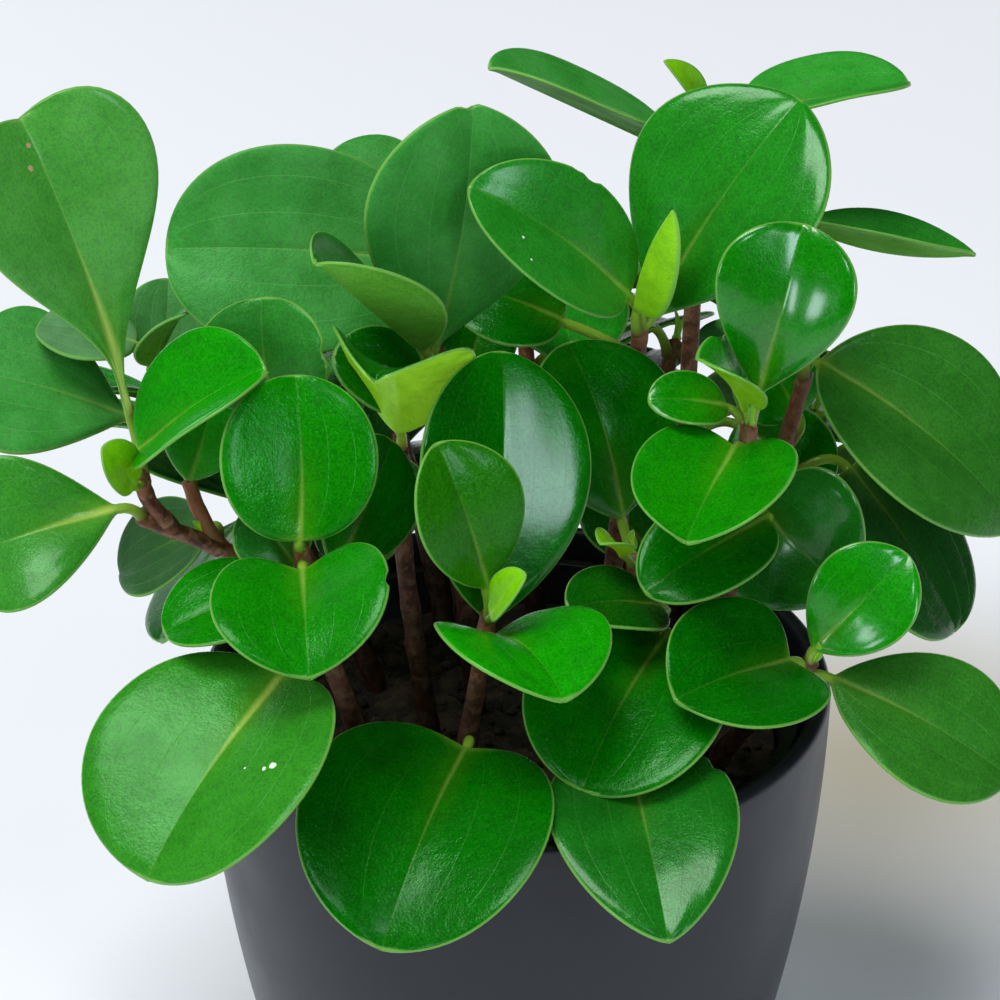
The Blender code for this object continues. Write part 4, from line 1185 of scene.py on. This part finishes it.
def growLeaf(where, leaf, lines, rng):
    look, bloomAndSheen = skinLook, leaf[8]
    *faceTints, ribShows, paintedGlow = leafTones[leaf[7]]
    blade = Blade(leaf, stalkFoot(Vector(leaf[0]), lines))
    seed = rng.uniform(0, 100)
    tints = [[part * rng.uniform(*look["tints"]) for part in tint] for tint in faceTints]
    size = min(blade.width / look["swollenWidth"], 1.0)
    small = min(blade.width / look["thickWidth"], 1.0)
    stalkShare, ribShare, edgeShare = (
        look[least] + (1 - look[least]) * small for least in ("leastStalk", "leastRib", "leastEdge"))
    stalkRadius = look["stalkRadius"] * stalkShare
    sway = look["ribSway"] * size * rng.uniform(-1, 1)
    own = leafExtras.get(where, {})
    soft, flat = own.get("cupped", look["foldRound"]), own.get("flat", 1.0)
    bites = rimBites(blade, own.get("dents", ()))
    around, stalkRows, bladeRows = look["fewFaces" if blade.width < look["smallWidth"] else "faces"]
    rows = stalkRows + bladeRows
    bm = bmesh.new()
    placeLayer = bm.verts.layers.float_vector.new("place")
    kindLayer = bm.verts.layers.float_vector.new("kind")
    ribLayer = bm.verts.layers.float.new("ribDistance")
    shineLayer = bm.verts.layers.float.new("shine")
    toneLayer = bm.verts.layers.float_color.new("tone")
    bmesh.ops.create_grid(bm, x_segments=around, y_segments=rows, size=1)
    for vert in bm.verts:
        turn, row = (vert.co.x + 1) / 2, round((vert.co.y + 1) / 2 * rows)
        upper = turn <= 0.5
        swing = 4 * turn - 1 if upper else 3 - 4 * turn
        # 0 at the rim, 1 at the midrib
        inwards = ((1 - math.cos(math.pi * (1 - abs(swing)))) / 2) ** look["crowding"]
        v = 1 - inwards
        sign = 1 if swing > 0 else -1
        face = 1 if upper else -1
        if row < stalkRows:
            t = row / stalkRows
            centre, across, up = blade.stalk(t)
            radius = stalkRadius * (1 + look["stalkFlare"] * (1 - t) ** 6) if row else 0.0
            vert.co = centre + across * sign * v * radius + up * face * math.sqrt(1 - v * v) * radius
            vert[placeLayer] = (t - 1, sign * v, 2.0)
            vert[kindLayer] = (ribShows, bloomAndSheen, face * (1 - v))
            vert[ribLayer] = v * radius
        else:
            s = (1 - math.cos(math.pi * (row - stalkRows) / bladeRows)) / 2
            half = math.hypot(blade.half(s), stalkRadius * (1 - s) ** 3)
            rimDistance = min(inwards * half, (1 - s) * blade.length)
            ribDistance = v * half
            opened = ease(0, look["opening"] * small, s * blade.length)
            # a lens between the two faces, or a round tube where the stalk begins
            ribHalf, edgeHalf = blade.ribHalf(s) * ribShare, leafLook["edge"] / 2 * edgeShare
            lens = edgeHalf + (ribHalf - edgeHalf) * (1 - v)
            lens *= math.sqrt(1 - (1 - min(rimDistance / look["rimRound"], 1)) ** 2)
            thick = stalkRadius * math.sqrt(1 - v * v) * (1 - opened) + lens * opened
            relief = flat * skinRelief(s, v, sign, half, size, seed)
            relief -= look["curl"] * size * max(0.0, 1 - rimDistance / look["curlWidth"]) ** 2
            depth, width, fade = look["grooveAbove" if upper else "grooveBelow"]
            relief -= depth * opened * math.exp(-((ribDistance / width) ** 2)) * (1 - s) ** fade * small
            rib = blade.rib(s) + blade.side * sway * math.sin(math.pi * s) * (1 - v)
            slide = blade.axis * blade.slide(s, half) * v ** look["slidePower"]
            out = blade.side * sign * v * half * math.cos(blade.lean)
            folded = (math.hypot(v, soft) - soft) / (math.hypot(1, soft) - soft)
            raised = blade.normal * (folded * half * math.sin(blade.lean) + relief * opened)
            vert.co = rib + slide + out + raised + blade.normal * face * thick
            for rim, pull, wide, deep in bites:
                away = vert.co - rim
                away -= blade.normal * away.dot(blade.normal)
                nearby = 1 - (away.length / wide) ** 2
                if nearby > 0:
                    vert.co += pull * deep * nearby ** 2
            vert[placeLayer] = (s, sign * v, rimDistance)
            vert[kindLayer] = (ribShows, bloomAndSheen, face * min(1.0, rimDistance / look["faceEdge"]))
            vert[ribLayer] = ribDistance
        vert[toneLayer] = (*tints[0 if upper else 1], 0 if upper else paintedGlow)
        vert[shineLayer] = own.get("shine", 0.0)
    closeSkin(bm)
    return bm


# Stems


def ringHeights(line, shoot, lines, rng):
    # a ring where each stalk leaves the stem, and below them where older leaves have fallen
    length = lengthOf(line)
    heights = []
    for leaf in shoot["leaves"]:
        foot = stalkFoot(Vector(leaf[0]), lines)
        steps = [i / searchSteps for i in range(searchSteps + 1)]
        away, t = min(((along(line, step) - foot).length, step) for step in steps)
        if away < 1:
            heights.append(t * length)
    lowest, height = min(heights, default=length), rng.uniform(2, 6)
    while height < lowest - stemLook["node"] / 2:
        heights.append(height)
        height += stemLook["node"] * rng.uniform(0.6, 1.2)
    return heights


def growStem(points, startRadius, endRadius, rooted, nodes, redness):
    # a round tube with a faint swollen ring at each node, closed at both ends
    look = stemLook
    length = lengthOf(points)
    sunk = soilLook["holeDepth"] - look["footCover"] if rooted else 0
    bm = bmesh.new()
    kindLayer = bm.verts.layers.float_vector.new("kind")
    placeLayer = bm.verts.layers.float_vector.new("place")
    bmesh.ops.create_grid(bm, x_segments=look["around"], y_segments=look["rows"], size=1)
    for vert in bm.verts:
        turn, climb = (vert.co.x + 1) * math.pi, (vert.co.y + 1) / 2
        height = climb * (length + sunk) - sunk
        t = max(height, 0) / length
        buried = rooted and height <= 0
        centre, side, other = stemPlace(points, t, buried)
        if buried:
            centre.z += height
        radius = (startRadius + (endRadius - startRadius) * t) * look["slimmer"]
        near = min((abs(height - node) for node in nodes), default=9.0)
        radius += look["swell"] * math.exp(-((near / look["swellLength"]) ** 2))
        knot = Vector((math.cos(turn), math.sin(turn), height / look["knotLength"] + length))
        radius += look["knots"] * noise.noise(knot)
        closing = max(0.0, (climb - 1 + look["rounding"]) / look["rounding"])
        radius *= math.sqrt(max(0.0, 1 - closing ** 2)) if climb else 0
        vert.co = centre + (side * math.cos(turn) + other * math.sin(turn)) * radius
        vert[kindLayer] = (near, t, redness)
        vert[placeLayer] = (height, turn, 0)
    closeSkin(bm)
    return bm


# Finishes of leaf and bark

leafColours = {
    "clouds": (0.45, 0.62, 0.40),  # what darkens the green
    "pits": (0.25, 0.45, 0.25),
    "dots": (0.080, 0.400, 0.040),
    # pale bloom, partly a painted sheen
    "bloomAndSheen": (0.310, 0.440, 0.300),
    "glow": (0.180, 0.420, 0.012),
    "rib": (0.700, 0.790, 0.150),
    "vein": (0.120, 0.420, 0.070),
    "margin": (0.170, 0.400, 0.070),
    "stalkFoot": (0.110, 0.040, 0.022),
    "stalkTop": (0.210, 0.370, 0.030),
    "tan": (0.55, 0.36, 0.20),
    "white": (0.70, 0.82, 0.66),
    "cream": (0.60, 0.62, 0.30),
}
# a row of four: two values on the surface, and how strong the effect is at each
leafFinish = {
    "grain": {"Size": 0.62, "Clouds": 12.0},
    "cloudy": (0.35, 0.7, 0.0, 0.45),
    "swollen": (0.55, 0.35, 0.0, 0.25),
    "calm": (0.06, 0.30, 1.0, 0.25),  # fewer pits and dots on the yellowest leaves
    "pitted": (0.05, 0.32, 0.42, 0.0),
    "dotted": (0.36, 0.60, 0.0, 0.15),
    "ribYoung": (0.0, 0.72, 1.0, 0.0),  # how the midrib fades up the blade
    "ribWidth": (2.2, 0.35, 0.45),  # with its strength, at least, and at the tip
    "ribFade": (0.90, 0.10),
    "glowing": (0.0, 7.0, 0.60, 0.0),
    "veins": 9.0,
    "veinWidth": (0.0, 0.08, 1.0, 0.0),
    "veinEnds": (0.8, 4.0),  # from the rim
    "veinShows": (2.2, 0.08),
    "filmed": (0.3, 0.65, 1.25, 0.75),
    "rimmed": (0.20, 0.85, 0.80, 0.0),
    "stalkEnds": (-0.05, 0.05, 1.0, 0.0),
    "stalkBrown": (-1.0, -0.45),
    "underFace": (-0.6, 0.0, 1.0, 0.0),
    "upperFace": (-0.2, 0.3),
    "roughness": (0.18, 0.29),
    "rougher": (0.9, 0.14),  # with bloom, and on the lower face
    "gloss": (-0.9, 0.10),  # with bloom, and without it
    "shine": 0.9,
    "relief": (2.4, -0.5),  # of the swellings and of the veins
    "bump": (0.36, 0.0002),
    "shader": {
        # strength of the painted glow on the lower faces
        "Emission Strength": 1.0,
        "Coat Roughness": 0.14,
        "Specular IOR Level": 0.24,
        "Specular Tint": (0.42, 1.0, 0.46, 1.0),
    },
}
spotLift = 0.9  # from a leaf's middle to its upper face
# scars and flecks: shoot, leaf, how far along and across it, radius in millimetres, colour
leafSpots = [
    ("shoot_left", 0, 0.93, -0.07, 0.8, "tan"),
    ("shoot_left", 0, 0.87, -0.15, 0.9, "tan"),
    ("shoot_left", 0, 0.54, -0.60, 0.4, "stalkFoot"),
    ("shoot_front_left", 5, 0.44, -0.56, 1.0, "white"),
    ("shoot_front_left", 5, 0.46, -0.50, 0.7, "white"),
    ("shoot_front_left", 5, 0.47, -0.32, 0.4, "white"),
    ("shoot_tall_right", 0, 0.70, -0.38, 0.4, "white"),
    ("shoot_tall_right", 0, 0.64, -0.65, 0.35, "white"),
    ("shoot_middle_left", 0, 0.62, 0.99, 1.2, "cream"),
    ("shoot_middle_left", 0, 0.53, 0.97, 1.4, "cream"),
    ("shoot_middle_left", 0, 0.44, 0.96, 1.3, "cream"),
    ("shoot_middle_left", 0, 0.70, 1.00, 0.9, "cream"),
]


def leafMaterial():
    material, tree, shader = startMaterial("glossyLeaf")
    look, colours = leafFinish, leafColours
    onBlade, across, rimDistance = splitVector(tree, readAttribute(tree, "place"))
    ribShows, bloomAndSheen, upper = splitVector(tree, readAttribute(tree, "kind"))
    tone, paintedGlow = readAttribute(tree, "tone", "Color"), readAttribute(tree, "tone", "Alpha")
    ribDistance = readAttribute(tree, "ribDistance", "Fac")
    height, swell, cloud = useGroup(tree, fineGrain, **look["grain"])
    under = ramp(tree, upper, *look["underFace"])

    calm = ramp(tree, splitVector(tree, tone)[0], *look["calm"])
    young = ramp(tree, onBlade, *look["ribYoung"])
    glow = times(tree, times(tree, ramp(tree, ribDistance, *look["glowing"]), young), ribShows)
    withStrength, least, atTip = look["ribWidth"]
    width = timesPlus(tree, young, timesPlus(tree, ribShows, withStrength, least), atTip)
    line = ramp(tree, ribDistance, 0.0, width, 1.0, 0.0)
    line = times(tree, line, timesPlus(tree, young, *look["ribFade"]))
    waves = maths(tree, "SINE", times(tree, maths(tree, "ABSOLUTE", across), look["veins"]))
    vein = ramp(tree, maths(tree, "ABSOLUTE", waves), *look["veinWidth"])
    vein = times(tree, vein, ramp(tree, rimDistance, *look["veinEnds"]))
    greener = ramp(tree, onBlade, *look["stalkBrown"])
    colour = paintLayers(tree, tone, [
        # clouds, pits and pale dots in the green
        (ramp(tree, cloud, *look["cloudy"]), colours["clouds"], "MULTIPLY"),
        (ramp(tree, swell, *look["swollen"]), colours["clouds"], "MULTIPLY"),
        (times(tree, ramp(tree, height, *look["pitted"]), calm), colours["pits"], "MULTIPLY"),
        (times(tree, ramp(tree, height, *look["dotted"]), calm), colours["dots"]),
        # a yellow glow round the lower midrib, then the midrib itself
        (glow, colours["glow"]),
        (times(tree, line, ribShows, clamp=True), colours["rib"]),
        # long arched side veins, clearer on bloomed leaves
        (times(tree, vein, timesPlus(tree, bloomAndSheen, *look["veinShows"])), colours["vein"]),
        # pale bloom, partly a painted sheen, thinner in the clouds, and a pale margin
        (times(tree, bloomAndSheen, ramp(tree, cloud, *look["filmed"])), colours["bloomAndSheen"]),
        (ramp(tree, rimDistance, *look["rimmed"]), colours["margin"]),
        # the stalk: brown at the stem, green by the blade
        (ramp(tree, onBlade, *look["stalkEnds"]),
         blendColours(tree, greener, colours["stalkFoot"], colours["stalkTop"])),
    ])
    colour = paintLayers(tree, colour, [
        (useGroup(tree, raggedSpot, Centre=centre, Radius=radius)["Mask"], colours[scar])
        for centre, radius, scar in leafMarks()])

    withBloom, underneath = look["rougher"]
    rough = timesPlus(tree, bloomAndSheen, withBloom, ramp(tree, cloud, *cloudSpan, *look["roughness"]))
    gloss = timesPlus(tree, bloomAndSheen, *look["gloss"])
    gloss = timesPlus(tree, readAttribute(tree, "shine", "Fac"), look["shine"], gloss)
    ofSwell, ofVein = look["relief"]
    relief = timesPlus(tree, vein, ofVein, timesPlus(tree, swell, ofSwell, height))
    feedAll(tree, shader, {
        "Base Color": colour,
        # painted glow: the lower face gives off its own colour, for light shining through the leaf
        "Emission Color": blendColours(tree, paintedGlow, (0, 0, 0), colour),
        "Roughness": timesPlus(tree, under, underneath, rough),
        "Coat Weight": times(tree, gloss, ramp(tree, upper, *look["upperFace"]), clamp=True),
        "Normal": useBump(tree, relief, *look["bump"]),
        **look["shader"],
    })
    return material


def leafMarks():
    marks = []
    for name, n, s, v, radius, colour in leafSpots:
        leaf = shoots[name]["leaves"][n]
        blade = Blade(leaf, leaf[0])
        half = blade.half(s)
        point = blade.rib(s) + blade.side * v * half
        point += blade.normal * (abs(v) * half * math.sin(blade.lean) + spotLift)
        point += blade.axis * blade.slide(s, half) * abs(v) ** skinLook["slidePower"]
        marks.append((point * toMetres, radius * toMetres, colour))
    return marks


barkFinish = {
    "grain": {"Size": 0.7, "Clouds": 2.6},
    "inner": (0.026, 0.010, 0.006),
    "outer": (0.165, 0.062, 0.032),
    "patches": (0.40, 0.60),
    "young": (0.330, 0.070, 0.030),
    "streaks": (0.170, 0.150, 0.040),
    "streakScale": (0.12, 5.0, 0.0),  # along the stem and around it
    "streaked": (0.45, 0.60),
    "reddening": (0.35, 0.85),  # with the height, and in all
    "youngFrom": (0.5, 1.0),
    "scar": (0.330, 0.200, 0.120),
    "flakes": (0.52, 0.66, 0.0, 0.55),
    "ringWidth": (0.1, 0.7, 1.0, 0.0),
    "ringPatches": (0.45, 0.62),
    "ringShows": 0.7,
    # painted shade: the stems darken towards the soil
    "paintedShade": (0.006, 0.003, 0.002),
    "paintedShadeHeights": (0.145, 0.215, 0.22, 1.0),  # from here to there in metres, what is left of the bark's own colour
    "roughness": (0.40, 0.58),
    "specular": 0.3,
    "bump": (0.7, 0.0003),
}


def barkMaterial():
    material, tree, shader = startMaterial("brownStem")
    look = barkFinish
    nearNode, climb, redness = splitVector(tree, readAttribute(tree, "kind"))
    height, swell, cloud = useGroup(tree, fineGrain, **look["grain"])
    withHeight, inAll = look["reddening"]
    lengthwise = put(tree, "ShaderNodeVectorMath", {0: readAttribute(tree, "place"), 1: look["streakScale"]},
                     operation="MULTIPLY").outputs["Vector"]
    streaked = ramp(tree, softNoise(tree, lengthwise, 1.0), *look["streaked"])
    red = timesPlus(tree, ramp(tree, climb, *look["youngFrom"]), withHeight, redness, clamp=True)
    rings = times(tree, ramp(tree, nearNode, *look["ringWidth"]), ramp(tree, cloud, *look["ringPatches"]))
    unshaded = ramp(tree, splitVector(tree, objectPlace(tree))[2], *look["paintedShadeHeights"])
    colour = paintLayers(tree, look["inner"], [
        (ramp(tree, cloud, *look["patches"]), look["outer"]),
        (ramp(tree, swell, *look["flakes"]), look["scar"]),
        # young wood is redder, with fine green streaks along it
        (times(tree, red, inAll), blendColours(tree, streaked, look["young"], look["streaks"])),
        # pale rings where leaves have been
        (times(tree, rings, look["ringShows"]), look["scar"]),
    ])
    # painted shade: the stems are darker towards the soil, inside the plant
    feedAll(tree, shader, {
        "Base Color": blendColours(tree, unshaded, look["paintedShade"], colour),
        "Roughness": ramp(tree, cloud, *cloudSpan, *look["roughness"]),
        "Specular IOR Level": look["specular"],
        "Normal": useBump(tree, height, *look["bump"]),
    })
    return material


# Whole shoots

budLook = {
    "length": 7.0,
    "width": 3.8,
    "apart": 0.5,
    "open": 0.18,
    "rise": 0.6,
    "form": (30, 0.5, "egg", "lime", 0.0),  # the rest of a leaf's row
}


def budLeaves(line, rng):
    # two young leaves pressed together at the top of a shoot
    look = budLook
    top = along(line, 1.0)
    upwards = ((top - along(line, 0.9)).normalized() + Vector((0, 0, look["rise"]))).normalized()
    side = upwards.cross(Vector((rng.uniform(-1, 1), rng.uniform(-1, 1), 0.1))).normalized()
    leaves = []
    for sign in (1, -1):
        base = top + side * sign * look["apart"]
        heading = (upwards + side * sign * look["open"]).normalized()
        tip = base + heading * look["length"] * rng.uniform(0.8, 1.1)
        leaves.append((base, tip, look["width"], side * -sign, *look["form"]))
    return leaves


def appendTo(whole, bm, slotIndex):
    for face in bm.faces:
        face.material_index = slotIndex
        face.smooth = True
    mesh = meshOf("part", bm)
    whole.from_mesh(mesh)
    bpy.data.meshes.remove(mesh)


def growShoot(name, shoot, materials):
    look, lines = stemLook, linesOf(shoot)
    rng = random.Random(name)
    whole = bmesh.new()
    for n, line in enumerate(lines):
        radii = look["twigRadii"] if n else (look["radius"], look["tipRadius"])
        redness = look["twigRedness"][n - 1] if n else look["redness"]
        nodes = ringHeights(line, shoot, lines, rng)
        appendTo(whole, growStem(line, *radii, n == 0, nodes, redness), 1)
    for n, leaf in enumerate(shoot["leaves"]):
        leaf = reshaped.get((name, n), leaf)
        appendTo(whole, growLeaf((name, n), leaf, lines, rng), 0)
    for leaf in budLeaves(lines[0], rng):
        appendTo(whole, growLeaf((name, "bud"), leaf, lines, rng), 0)
    scaleToMetres(whole)
    addPiece(name.replace("shoot", "leafy"), whole, materials, name)


foliage = [leafMaterial(), barkMaterial()]
for shootName, shootTable in shoots.items():
    growShoot(shootName, shootTable, foliage)
print("foliage:", sum(len(shoot["leaves"]) for shoot in shoots.values()), "leaves")
